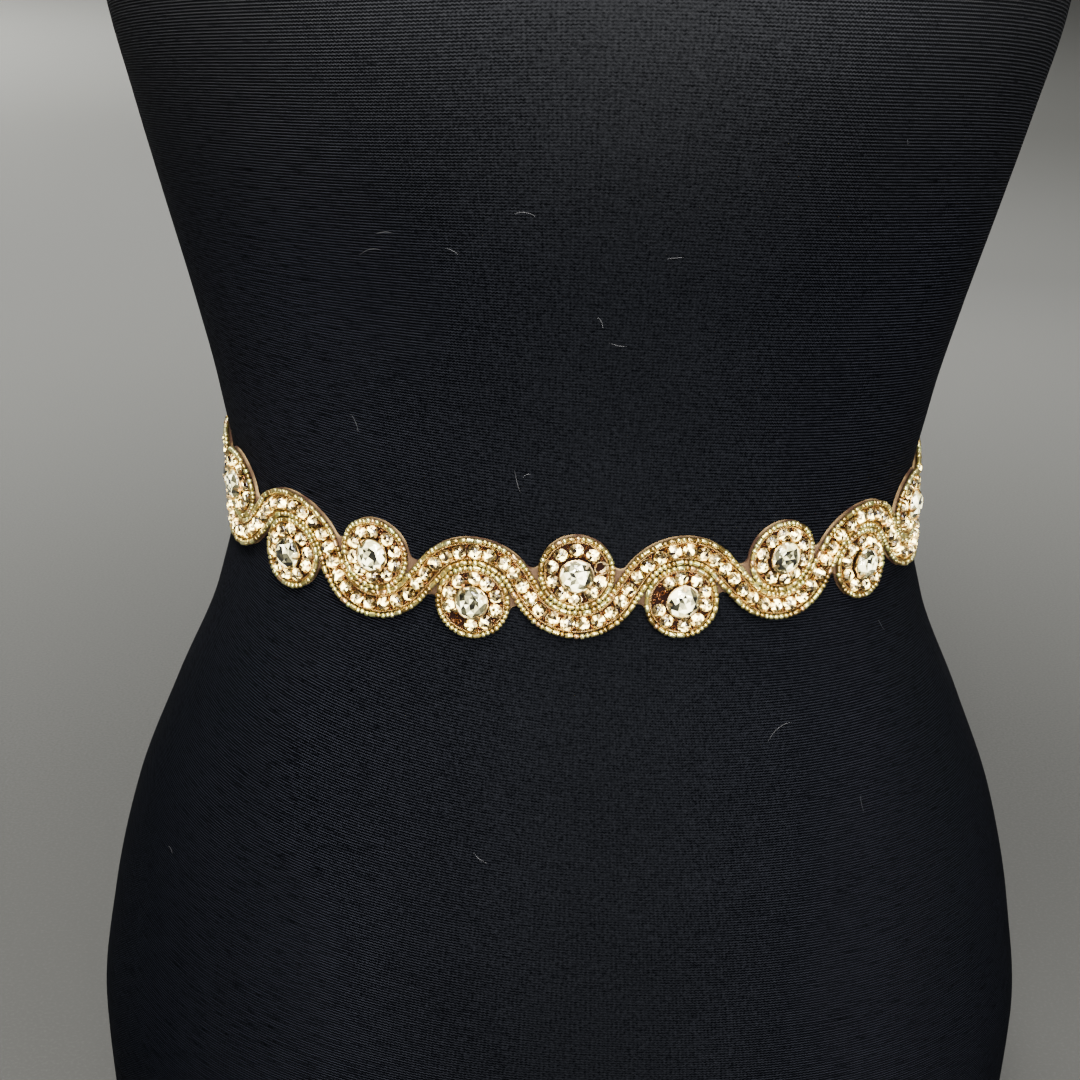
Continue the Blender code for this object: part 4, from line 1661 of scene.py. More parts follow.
@dataclass
class PurlLoops:
    """Small loops of purl thread sewn down in the gaps between stones."""

    pattern: SashPattern
    seed: int
    size: float = 0.66 * MM
    thread: float = 0.25
    steps: int = 11
    sides: int = 4
    stray: float = 0.16 * MM
    tip: float = 0.4
    sizes: Pair = (0.7, 1.15)
    squeezes: Pair = (0.6, 1.0)

    def shape(self) -> Shape:
        """One loop of unit radius.

        Returns:
            The loop: 1 + t cos b from its middle and t sin b out, with b round the thread.
        """
        turn, b = round_angles(self.steps)[:, None], round_angles(self.sides)
        rings = ring_points(1 + self.thread * np.cos(b), turn, self.thread * np.sin(b))
        run = np.linspace(0, 2 * np.pi * self.size, self.steps + 1)
        return tube(rings, run, np.linspace(0, 1 * MM, self.sides + 1), closed=True)

    def build(self, spots: Array, height: float) -> Shape:
        """Lays a loop on every spot.

        Args:
            spots: Flat points as (n, 2).
            height: The loops' middle above the cloth.

        Returns:
            The loops, each squeezed, leaned and turned by draws of its own.
        """
        rng = np.random.default_rng(self.seed)
        count = len(spots)
        spots = spots + rng.normal(0, self.stray, (count, 2))
        places = self.pattern.places(spots, np.tile([1.0, 0.0], (count, 1)), height)
        turn = rng.uniform(0, 2 * np.pi, count)
        places = places.tipped(turn, rng.normal(0, self.tip, count), rng.normal(0, self.tip, count))
        size = self.size * rng.uniform(*self.sizes, count)
        scale = np.stack([size, size * rng.uniform(*self.squeezes, count), size], -1)
        return stamp(self.shape(), places, scale)


@dataclass
class StoneSetting:
    """Small claw-set stones: one cut stone and one cup for each place."""

    radius: float = 2.24 * MM
    light: FoilLight = FoilLight()
    # How far a cup turns and tips, and how far it strays along, across and out.
    turn: float = 0.14
    tip: float = 0.07
    sizes: Pair = (0.96, 1.04)
    stray: float = 0.09 * MM
    stray_shares: tuple[float, ...] = (1, 1, 0.6)

    def build(self, places: Places, height: float, rng: Draws, empty: Array) -> tuple[Shape, Shape]:
        """Sets the stones.

        Args:
            places: Where each cup stands, out square to the cloth.
            height: From the cup's foot to the stone's table.
            rng: The draws for each stone's small turn, lean and size.
            empty: A mask of cups whose stone is lost.

        Returns:
            The stones and the cups, as one shape each.
        """
        count = len(places.origin)
        size = self.radius * rng.uniform(*self.sizes, count)
        tilts = [rng.normal(0, spread, count) for spread in (self.turn, self.tip, self.tip)]
        stray = rng.normal(0, self.stray, (count, 3)) * np.array(self.stray_shares)
        places = places.tipped(*tilts).moved(stray)
        scale = np.stack([size, size, np.full(count, height)], -1)
        cut = ChatonCut().shape()
        tones = self.light.tones(cut, count, rng)
        stones = stamp(cut, places.pick(~empty), scale[~empty], tones[~empty])
        cups = [
            stamp(ClawCup().shape(empty=lost), places.pick(which), scale[which])
            for lost, which in ((False, ~empty), (True, empty))
            if which.any()
        ]
        return stones, merged(cups)


@dataclass
class JewelBand:
    """The winding band: a row of claw-set stones between two purl threads and two rows of beads."""

    pattern: SashPattern
    seed: int = 7
    bead_offset: float = 3.85 * MM
    purl_offset: float = 2.6 * MM
    stone_pitch: float = 4.85 * MM
    stone_height: float = 2.6 * MM
    loop_height: float = 0.5 * MM
    # How far the purl loops lie from the line, in millimetres.
    loop_offsets: tuple[float, ...] = (-1.8, 1.8)

    def build(self) -> list[Piece]:
        """Makes the stones and the two edges.

        Returns:
            The three pieces.
        """
        rng = np.random.default_rng(self.seed)
        line, normals = self.pattern.band_line(0.1 * MM)
        count = round(len(self.pattern.band_line(1 * MM)[0]) * MM / self.stone_pitch)
        at = (np.arange(count) + 0.5) / count * (len(line) - 1)
        index = np.arange(len(line))
        heading = -left_of(read_rows(at, index, normals))
        places = self.pattern.places(read_rows(at, index, line), heading, 0.0)
        full = np.zeros(count, bool)
        stones, cups = StoneSetting().build(places, self.stone_height, rng, full)
        between = (at[1:] + at[:-1]) / 2
        middle, aside = (read_rows(between, index, rows) for rows in (line, normals))
        gaps = np.concatenate([middle + aside * offset * MM for offset in self.loop_offsets])
        loops = PurlLoops(self.pattern, self.seed + 50).build(gaps, self.loop_height)
        layers = [
            Layer(stones, CutStone(), False),
            Layer(cups, RoseGold(), False),
            Layer(loops, COPPER_PURL),
        ]
        pieces = [make_piece("band_stones", "small_stones", "stone_chain", *layers)]
        for name, bank in (("upper", Bank.ABOVE), ("lower", Bank.BELOW)):
            aside = normals * bank.value
            row = self._edge(line, aside, bank, round(at[0]), round(at[-1]))
            beads = BeadString(self.pattern).build(row, rng)
            purl = PurlLine(self.pattern).build(line + aside * self.purl_offset)
            layers = [Layer(beads, GoldLinedGlass()), Layer(purl, PurlThread())]
            pieces.append(make_piece(f"band_beads_{name}", "beads", f"bead_row_{name}", *layers))
        return pieces

    def _edge(self, line: Array, aside: Array, bank: Bank, low: int, high: int) -> Array:
        """One bead row's line: along the band's edge and a quarter turn round its end stones.

        Args:
            line: The band's line.
            aside: The directions from the line to the row.
            bank: ABOVE or BELOW.
            low: The line's point at the first stone.
            high: The line's point at the last stone.

        Returns:
            Flat points from the band's one end to the other.
        """
        bend = np.radians(np.linspace(88, 3, 16))[:, None]
        caps = []
        for index, way in ((low, -bank.value), (high, bank.value)):
            ahead = -way * left_of(aside[index])
            round_end = np.cos(bend) * aside[index] + np.sin(bend) * ahead
            caps.append(line[index] + self.bead_offset * round_end)
        body = (line + aside * self.bead_offset)[low : high + 1]
        return np.concatenate([caps[0], body, caps[1][::-1]])


@dataclass
class Rosette:
    """One round of the sash: a felt bed, a ring of small stones, a purl ring and a beaded rim."""

    pattern: SashPattern
    number: int
    # The place in the ring of a stone lost with its cup, or of an empty cup, counted from the top.
    lost: int = -1
    empty: int = -1
    stones: int = 10
    stone_ring: float = 7.85 * MM
    stone_radius: float = 2.18 * MM
    stone_height: float = 2.0 * MM
    bed_height: float = 0.75 * MM
    purl_ring: float = 10.1 * MM
    purl_height: float = 0.8 * MM
    bead_ring: float = 11.25 * MM
    out_of_round: float = 0.008
    # The purl loops' rings beyond and within the stones.
    loop_rings: Pair = (9.1 * MM, 6.45 * MM)
    # The loops where a stone is lost: angle from its place, and ring in millimetres.
    bare_loops: Rows = (
        (-0.12, 7.0), (0.02, 8.2), (0.14, 7.6), (-0.05, 9.0), (0.10, 8.8),
    )
    # The felt's radius and height in millimetres from its foot, over its edge, to its middle.
    bed: Rows = (
        (0.5, 0), (10.1, 0), (10.25, 0.35), (10, 0.7), (9.3, 0.78), (6, 0.78), (3, 0.78),
        (0.5, 0.78),
    )
    bed_gap: float = 0.02 * MM
    bed_sides: int = 48

    def build(self) -> Piece:
        """Makes the rosette in its node's place.

        Returns:
            The piece.
        """
        rng = np.random.default_rng(100 + self.number)
        node = f"rosette_{self.number:02d}"
        stones, cups = self._ring(rng)
        string = BeadString(self.pattern, seed_length=1.6 * MM, bugle_share=0.26)
        beads = string.build(self._circle(self.bead_ring, rng), rng)
        circle = self._circle(self.purl_ring, rng)
        purl = PurlLine(self.pattern).build(circle, self.purl_height, True)
        return make_piece(
            f"{node}_beadwork",
            "settings",
            node,
            Layer(self._bed(), FELT_GROUND),
            Layer(self._loops(), COPPER_PURL),
            Layer(cups, RoseGold(), False),
            Layer(stones, CutStone(), False),
            Layer(purl, PurlThread()),
            Layer(beads, GoldLinedGlass()),
        )

    def _circle(self, radius: float, rng: Draws) -> Array:
        """A closed circle that is a hair out of round.

        Args:
            radius: Its radius.
            rng: The draws for its two waves.

        Returns:
            Flat points, r (1 + a cos 2t + b cos 3t) from the rosette's centre.
        """
        angle = np.linspace(0, 2 * np.pi, 241)
        two, three = rng.uniform(-self.out_of_round, self.out_of_round, 2)
        wobble = radius * (1 + two * np.cos(2 * angle) + three * np.cos(3 * angle))
        return self.pattern.ring(self.number - 1, wobble, angle)

    def _ring(self, rng: Draws) -> tuple[Shape, Shape]:
        """The ring of claw-set stones, one of them lost with or without its cup.

        Args:
            rng: The draws for the stones.

        Returns:
            The stones and the cups.
        """
        order = np.arange(self.stones)
        angle = np.pi / 2 + order * 2 * np.pi / self.stones + rng.normal(0, 0.03, self.stones)
        kept = order != self.lost
        angle = angle[kept]
        spots = self.pattern.ring(self.number - 1, self.stone_ring, angle)
        heading = np.stack([-np.sin(angle), np.cos(angle)], -1)
        places = self.pattern.places(spots, heading, self.bed_height - 0.1 * MM)
        setting = StoneSetting(radius=self.stone_radius)
        return setting.build(places, self.stone_height, rng, (order == self.empty)[kept])

    def _loops(self) -> Shape:
        """Loops of purl in the gaps outside and inside the ring, and where a stone is lost.

        Returns:
            The loops.
        """
        step = 2 * np.pi / self.stones
        half_way = np.pi / 2 + (np.arange(self.stones) + 0.5) * step
        angle, radius = np.tile(half_way, 2), np.repeat(self.loop_rings, self.stones)
        if self.lost >= 0:
            spread, rings = np.array(self.bare_loops).T
            angle = np.concatenate([angle, np.pi / 2 + self.lost * step + spread])
            radius = np.concatenate([radius, rings * MM])
        spots = self.pattern.ring(self.number - 1, radius, angle)
        return PurlLoops(self.pattern, 500 + self.number).build(spots, self.bed_height + 0.4 * MM)

    def _bed(self) -> Shape:
        """The felt disc.

        Returns:
            The disc, its profile carried round the rosette's own ring.
        """
        reach, height = MM * np.array(self.bed).T[..., None]
        spot = self.pattern.ring(self.number - 1, reach, round_angles(self.bed_sides))
        rings = self.pattern.on_cloth(spot[..., 0], spot[..., 1], height + self.bed_gap)
        return tube(rings, np.arange(len(rings)) * MM, np.linspace(0, 1, self.bed_sides + 1))


@dataclass
class CentreCrystal:
    """A rosette's round centre crystal in its cup, held by four claws."""

    pattern: SashPattern
    number: int
    turn: float = 0.0
    radius: float = 5.35 * MM
    height: float = 3.6 * MM
    stand: float = 1.3 * MM
    tip: float = 0.03
    # The stone's and the metal's shares of the radius and the height.
    stone_fit: tuple[float, ...] = (0.985, 0.985, 1.0)
    metal_fit: tuple[float, ...] = (1.0, 1.0, 0.98)
    # The cup's radius and height from its foot to its lip.
    cup: Rows = (
        (0.86, 0.0), (0.92, 0.05), (1.02, 0.30), (1.06, 0.42), (1.045, 0.50), (0.99, 0.52),
        (0.95, 0.46),
    )
    cup_sides: int = 40
    light: FoilLight = FoilLight(
        table_mean=0.52, table_swing=0.26, crown_mean=0.58, crown_swing=0.24, noise=0.26,
        lead=np.pi, spark=1.5,
        ladder=(
            (0.010, 0.009, 0.005), (0.050, 0.046, 0.024), (0.18, 0.17, 0.092), (0.68, 0.655, 0.43),
            (1.00, 0.985, 0.85),
        ),
    )

    def build(self) -> Piece:
        """Makes the crystal in its node's place.

        Returns:
            The piece.
        """
        rng = np.random.default_rng(300 + self.number)
        node = f"crystal_{self.number:02d}"
        centre = self.pattern.centres[self.number - 1][None]
        places = self.pattern.places(centre, np.array([[1.0, 0.0]]), self.stand)
        places = places.tipped(*rng.normal(0, self.tip, (3, 1)) + np.array([[self.turn], [0], [0]]))
        size = np.array([[self.radius, self.radius, self.height]])
        cut = BrilliantCut().shape()
        stone = stamp(cut, places, size * self.stone_fit, self.light.tones(cut, 1, rng))
        claws = [ClawCup(claw_width=0.10).claw(k * np.pi / 2) for k in range(4)]
        metal = merged([turned(np.array(self.cup), self.cup_sides), *claws])
        return make_piece(
            f"{node}_stone",
            "crystals",
            node,
            Layer(stone, CENTRE_STONE, False),
            Layer(stamp(metal, places, size * self.metal_fit), RoseGold()),
        )


@dataclass(frozen=True)
class SoftCreases:
    """Soft troughs and ridges along a ribbon, uneven in length, depth and place."""

    seed: int
    count: int
    depth: float = 0.6 * MM
    breadth: float = 0.10

    def height(self, run: Array, share: Array) -> Array:
        """The creases' height.

        Args:
            run: Distance along, as a column.
            share: 0 to 1 across the ribbon, as a row.

        Returns:
            The sum over the creases of depth · exp(-part²) · exp(-((share - line) / breadth)²), where
            part is the distance from a crease's middle over its half length, and its line wanders
            across with part.
        """
        rng = np.random.default_rng(self.seed)
        start, span = run.min(), np.ptp(run)
        middle = start + span * (np.arange(self.count) + rng.uniform(0.1, 0.9, self.count)) / self.count
        half = span * rng.uniform(0.10, 0.30, self.count)
        line, drift = rng.uniform(0.15, 0.85, self.count), rng.normal(0, 0.16, self.count)
        depth = self.depth * rng.uniform(0.45, 1.0, self.count) * rng.choice([-1, 1], self.count)
        breadth = self.breadth * rng.uniform(0.6, 1.5, self.count)
        part = (run[..., None] - middle) / half
        across = (share[..., None] - line - drift * part) / breadth
        return (depth * np.exp(-(part**2) - across**2)).sum(-1)


@dataclass(frozen=True)
class TailCut:
    """One tail's line and cut, in millimetres.

    Its line starts and ends this far from the middle, and its cut end slants over its width.
    """

    side: Hand
    end: float
    drop: float
    slant: float
    start: float = 4.4


@dataclass
class RibbonTies:
    """The satin ribbon: a run round each side to the knot at the centre back, and two tails."""

    pattern: SashPattern
    half_width: float = 11 * MM
    thick: float = 0.62 * MM
    gather_length: float = 38 * MM
    gather_half: float = 6.5 * MM
    fold_height: float = 1.7 * MM
    run_step: float = 1.6 * MM
    # A run's creases start and are full this far beyond its start, and dip no lower than this.
    crease_from: Pair = (10 * MM, 30 * MM)
    crease_floor: float = -0.2 * MM
    knot_half_width: float = 8 * MM
    knot_half_height: float = 9.5 * MM
    knot_around: int = 144
    # The millimetres that bring the shares of the knot's section to the scale of its heights.
    knot_scale: float = 9.0
    knot_step: float = 0.45
    knot_square: float = 0.7
    # The heights between which the folds come in, in millimetres.
    fold_fade: Pair = (1.5, 6.5)
    # The knot's section: share of its half size, and height in millimetres.
    knot_profile: Rows = (
        (0.84, 0.35), (0.93, 1.1), (0.985, 2.4), (1.0, 4.0), (0.985, 5.6), (0.93, 7.0), (0.82, 8.2),
        (0.66, 9.0), (0.46, 9.5), (0.24, 9.7), (0.06, 9.75),
    )
    # The knot's folds: lean in degrees, distance from the middle, depth and breadth in millimetres.
    knot_folds: Rows = (
        (8, -6.3, 1.3, 0.8), (14, -3.5, 1.6, 0.65), (20, -0.9, 1.9, 0.8), (27, 1.7, 1.5, 0.6),
        (33, 4.3, 1.8, 0.75), (40, 6.8, 1.2, 0.65),
    )
    tail_top_half: float = 3.8 * MM
    tail_spread: float = 55 * MM
    tail_arch: float = 1.6 * MM
    tail_step: float = 1.8 * MM
    tail_off: float = 0.15 * MM
    tail_ease: float = 3 * MM
    gather_fade: Pair = (-2 * MM, 6 * MM)
    gather_power: float = 1.5
    # The pleats of a run and of a tail: how many, their depth and how uneven it is.
    run_pleats: float = 3
    run_depths: Pair = (0.72, 0.28)
    tail_pleats: float = 2.5
    tail_depths: Pair = (0.8, 0.2)
    # How far a run's pleats stray, where they are deepest, and how much they draw its width in.
    pleat_sway: float = 0.18
    deepest: float = 0.8
    tightening: float = 0.035
    tail_waves: float = 7
    # The share of the room under a run's face at which its back lies.
    sits: float = 0.8
    ripple_floor: float = -0.4 * MM
    rows: int = 41
    # How suddenly a ribbon thins at its edges and how thin it gets, and where they are woven close.
    rim_power: float = 14
    rim_thin: float = 0.06
    woven_edge: Pair = (0.87, 0.93)

    def __post_init__(self) -> None:
        """Sets the shares of the width, 0 to 1, at which a ribbon has points."""
        self.share = np.linspace(0, 1, self.rows)

    def _wall(self, node: str, faces: Callable[[Array], Array], run: Array, width: Array) -> Piece:
        """Makes a piece of ribbon: a closed wall between two faces of one surface.

        Args:
            node: The node it stands for.
            faces: Gives the world points of both faces from their distances out.
            run: Distance along at each station.
            width: The ribbon's width at each station.

        Returns:
            The piece, a loop of points over its face and back under it, thinned at both edges.
        """
        rim = np.sqrt(np.clip(1 - np.abs(2 * self.share - 1) ** self.rim_power, self.rim_thin, 1))
        half = self.thick / 2
        face, back = faces(half + half * np.multiply.outer([1, -1], rim)[:, None])
        across = np.concatenate([self.share, self.share[::-1], self.share[:1]])
        shape = tube(np.concatenate([face, back[:, ::-1]], 1), run, across * width[:, None])
        edge = smooth_step(np.abs(2 * across[:-1] - 1), *self.woven_edge)
        shape.masks = np.repeat(np.tile(edge, len(run))[:, None], 3, axis=1)
        return make_piece(f"{node}_satin", "ribbon_satin", node, Layer(shape, BlushSatin()))

    def build_run(self, side: Hand) -> Piece:
        """Makes the ribbon on one side, from under the beadwork's end to the knot.

        Args:
            side: LEFT or RIGHT.

        Returns:
            The piece, with long soft creases that deepen towards the gathers.
        """
        pattern, sign = self.pattern, side.value
        start = pattern.tab_at(side) + pattern.gap
        end = pattern.wrap.half_round(side) - self.knot_half_width - pattern.gap
        run = np.linspace(start, end, round((end - start) / self.run_step) + 1)[:, None]
        gather = smooth_step(run, end - self.gather_length, end)
        half = self.half_width + (self.gather_half - self.half_width) * gather
        share = self.share
        up = half * (2 * share - 1)
        sway = self.pleat_sway * np.sin(2 * np.pi * share + sign)
        pleats = np.sin(np.pi * (self.run_pleats * share + sway)) ** 2
        deep, uneven = self.run_depths
        pleats = pleats * (deep + uneven * np.cos(2 * np.pi * share + self.deepest * sign))
        free = smooth_step(run, *(start + beyond for beyond in self.crease_from)) * (1 - gather)
        crease = free * SoftCreases(40 + sign, count=6).height(run, share[None, :])
        inner = pattern.skin_gap + (pattern.ribbon_thick - self.thick) * self.sits
        inner = inner + self.fold_height * gather * pleats + np.maximum(crease, self.crease_floor)
        tighten = 1 - self.tightening * gather * np.sin(4 * np.pi * share) ** 2

        def faces(out: Array) -> Array:
            """World points of both faces."""
            return pattern.wrap.place(sign * run, up * tighten, inner + out)

        return self._wall(f"ribbon_{side.name.lower()}", faces, run[:, 0], 2 * half[:, 0])

    def build_knot(self) -> Piece:
        """Makes the knot: a rounded pad wrapped by folds that fan out from its lower left.

        Returns:
            The piece. Its rings share the pad's outline |cos|, |sin| to the power 0.7, and its
            height is lowered by folds, each a narrow bell of the distance from a slanted line.
        """
        wrap, angle = self.pattern.wrap, round_angles(self.knot_around)
        stretch = [self.knot_scale, 1.0]
        profile = resample(np.array(self.knot_profile) * stretch, self.knot_step)[0] / stretch
        share, out = profile[:, :1], profile[:, 1:] * MM + 0 * angle
        x = signed_power(np.cos(angle), self.knot_square) * self.knot_half_width * share
        y = signed_power(np.sin(angle), self.knot_square) * self.knot_half_height * share
        for degrees, offset, depth, breadth in self.knot_folds:
            lean = np.radians(degrees)
            distance = y * np.cos(lean) - x * np.sin(lean) - offset * MM
            crease = np.exp(-((distance / (breadth * MM)) ** 2))
            out = out - depth * MM * crease * smooth_step(profile[:, 1:], *self.fold_fade)
        right, left = wrap.half_round(Hand.RIGHT), wrap.half_round(Hand.LEFT)
        rings = wrap.place(np.where(x < 0, right + x, x - left), y, out)
        shape = tube(rings, travel(profile) * MM, np.linspace(0, 50 * MM, len(angle) + 1))
        return make_piece("knot_satin", "ribbon_satin", "knot", Layer(shape, BlushSatin()))

    def build_tail(self, node: str, cut: TailCut) -> Piece:
        """Makes one tail, which slides down the form's back and then hangs straight.

        Args:
            node: The node it stands for.
            cut: Its line and its cut.

        Returns:
            The piece. Its depth is the form's back, held at the furthest it has reached above.
        """
        start, end, drop, slant = (v * MM for v in (cut.start, cut.end, cut.drop, cut.slant))
        wrap, gap, sign = self.pattern.wrap, self.pattern.gap, cut.side.value
        share = self.share
        down = np.linspace(0, 1, round(drop / self.tail_step) + 1)[:, None]
        fall = down * (drop + slant * (2 * share - 1))
        spread = smooth_step(fall, 0, self.tail_spread)
        half = self.tail_top_half + (self.half_width - self.tail_top_half) * spread
        line = start + (end - start) * smooth_step(down, 0, 1)
        apart = half + gap
        middle = (line + apart + np.sqrt((line - apart) ** 2 + self.tail_ease**2)) / 2
        x = sign * middle + half * (2 * share - 1)
        height = wrap.middle(np.pi) - self.knot_half_height - gap - fall
        depth = np.maximum.accumulate(wrap.form.back_depth(x, height), axis=0)
        arch = self.tail_arch * spread * np.sin(np.pi * share) ** 2
        deep, uneven = self.tail_depths
        pleats = np.sin(np.pi * (self.tail_pleats * share + uneven * sign)) ** 2
        pleats = pleats * (deep + uneven * np.cos(self.tail_waves * share))
        closed = (1 - spread) ** self.gather_power
        gathers = self.fold_height * closed * smooth_step(fall, *self.gather_fade) * pleats
        creases = SoftCreases(60 + sign, count=7, depth=0.9 * MM, breadth=0.13)
        ripple = spread * np.sin(np.pi * share) * creases.height(down * drop, share[None, :])
        base = 2 * gap + arch + gathers + np.maximum(ripple, self.ripple_floor) + self.tail_off

        def faces(out: Array) -> Array:
            """World points of both faces."""
            return np.stack(np.broadcast_arrays(x, depth + base + out, height), -1)

        width = np.full(len(down), 2 * self.half_width)
        return self._wall(node, faces, down[:, 0] * drop, width)


@dataclass
class Stitches:
    """Short running stitches that sew the beadwork's end tabs down over the ribbon."""

    pattern: SashPattern
    length: float = 2.1 * MM
    pitch: float = 3.1 * MM
    radius: float = 0.17 * MM
    inset: float = 2.6 * MM
    end_inset: float = 1.5 * MM
    rise: float = 0.22 * MM
    sunk: float = 0.05 * MM
    blunt: float = 0.12
    rings: int = 9
    sides: int = 6

    def build(self) -> Piece:
        """Makes a line of stitches up each tab.

        Returns:
            The piece. Each stitch is a tube whose middle rises as a half sine above the cloth.
        """
        count = int(2 * (self.pattern.tab_half - self.end_inset) / self.pitch)
        feet = (np.arange(count) - (count - 1) / 2) * self.pitch - self.length / 2
        tabs = self.pattern.tab_start + np.array([-1, 1]) * (self.pattern.tab_length - self.inset)
        shapes = [self._stitch(along, foot) for along in tabs for foot in feet]
        return make_piece("tab_stitches", "backing_cloth", "", Layer(merged(shapes), SpunThread()))

    def _stitch(self, along: float, foot: float) -> Shape:
        """One stitch standing up the pattern.

        Args:
            along: Where it stands.
            foot: The up of its foot.

        Returns:
            The stitch as a tube, thinner at its ends.
        """
        share, angle = np.linspace(0, 1, self.rings)[:, None], round_angles(self.sides)
        thin = self.radius * np.sin(np.pi * (self.blunt + (1 - 2 * self.blunt) * share))
        out = self.rise * np.sin(np.pi * share) - self.sunk + thin * np.sin(angle)
        aside = along + thin * np.cos(angle)
        rings = self.pattern.on_cloth(aside, foot + self.length * share, out)
        return tube(rings, share[:, 0] * self.length, np.linspace(0, 1 * MM, self.sides + 1))


@dataclass
class LooseFibres:
    """Stray lint that has settled on the front of the jersey."""

    form: FormShape
    radius: float = 0.055 * MM
    clearance: float = 0.25 * MM
    end_lift: float = 0.5 * MM
    blunt: float = 0.15
    rings: int = 15
    sides: int = 5
    # Angle and height of the first end, the same of the last, and the bow between them; degrees
    # and millimetres.
    ends: Rows = (
        (-25.0, 405.0, -23.0, 405.6, 0.1), (-28.0, 397.6, -24.8, 399.6, 0.9),
        (-16.4, 401.4, -15.0, 399.6, 0.2), (-8.0, 412.8, -5.8, 412.2, 0.6),
        (1.0, 380.4, 1.8, 377.4, 1.0), (2.6, 372.6, 4.8, 371.4, -0.5),
        (-35.0, 342.6, -34.2, 337.2, 0.2), (-9.8, 329.4, -9.0, 322.2, -1.3),
        (-8.6, 327.0, -7.4, 328.2, 0.3), (8.4, 399.6, 10.4, 400.2, -0.2),
        (35.8, 435.6, 36.0, 434.0, 0.1), (-60.2, 174.6, -58.6, 172.8, 0.3),
        (55.2, 265.8, 56.4, 261.6, 0.5), (27.4, 235.2, 31.8, 240.0, 1.2),
        (40.6, 210.6, 40.4, 204.6, 0.4), (-11.6, 199.2, -9.8, 195.6, -0.7),
    )

    def build(self) -> Piece:
        """Makes all the fibres as one piece."""
        fibres = merged([self._fibre(row) for row in self.ends])
        return make_piece("loose_fibres", "jersey", "", Layer(fibres, LINT))

    def _fibre(self, row: tuple[float, ...]) -> Shape:
        """One fibre.

        Args:
            row: A row of the ends.

        Returns:
            A thin tube that bows up as a half sine between its ends and lifts at them.
        """
        angle, height, last_angle, last_height, bow = row
        share = np.linspace(0, 1, self.rings)
        turn = np.radians(angle + (last_angle - angle) * share)
        climb = MM * (height + (last_height - height) * share + bow * np.sin(np.pi * share))
        normal = self.form.normal(turn, climb)
        lift = self.clearance + self.end_lift * (2 * share - 1) ** 4
        line = self.form.skin(turn, climb) + lift[:, None] * normal
        side = np.cross(unit(np.gradient(line, axis=0)), normal)
        around = round_angles(self.sides)[:, None]
        thin = self.radius * np.sin(np.pi * (self.blunt + (1 - 2 * self.blunt) * share))[:, None, None]
        ring = np.cos(around) * side[:, None] + np.sin(around) * normal[:, None]
        return tube(line[:, None] + thin * ring, share * 6 * MM, np.linspace(0, 0.5 * MM, self.sides + 1))


@dataclass(frozen=True)
class Lamp:
    """A square soft light that looks at a target; its spread is in degrees."""

    name: str
    place: Point
    target: Point
    side: float
    watts: float
    colour: Colour
    spread: float = 180

    def build(self) -> None:
        """Makes the light."""
        data = bpy.data.lights.new(self.name, "AREA")
        data.size, data.energy, data.color = self.side, self.watts, self.colour
        data.spread = np.radians(self.spread)
        lamp = add_object(self.name, data)
        lamp.location = self.place
        look = Vector(self.target) - Vector(self.place)
        lamp.rotation_euler = look.to_track_quat("-Z", "Y").to_euler()


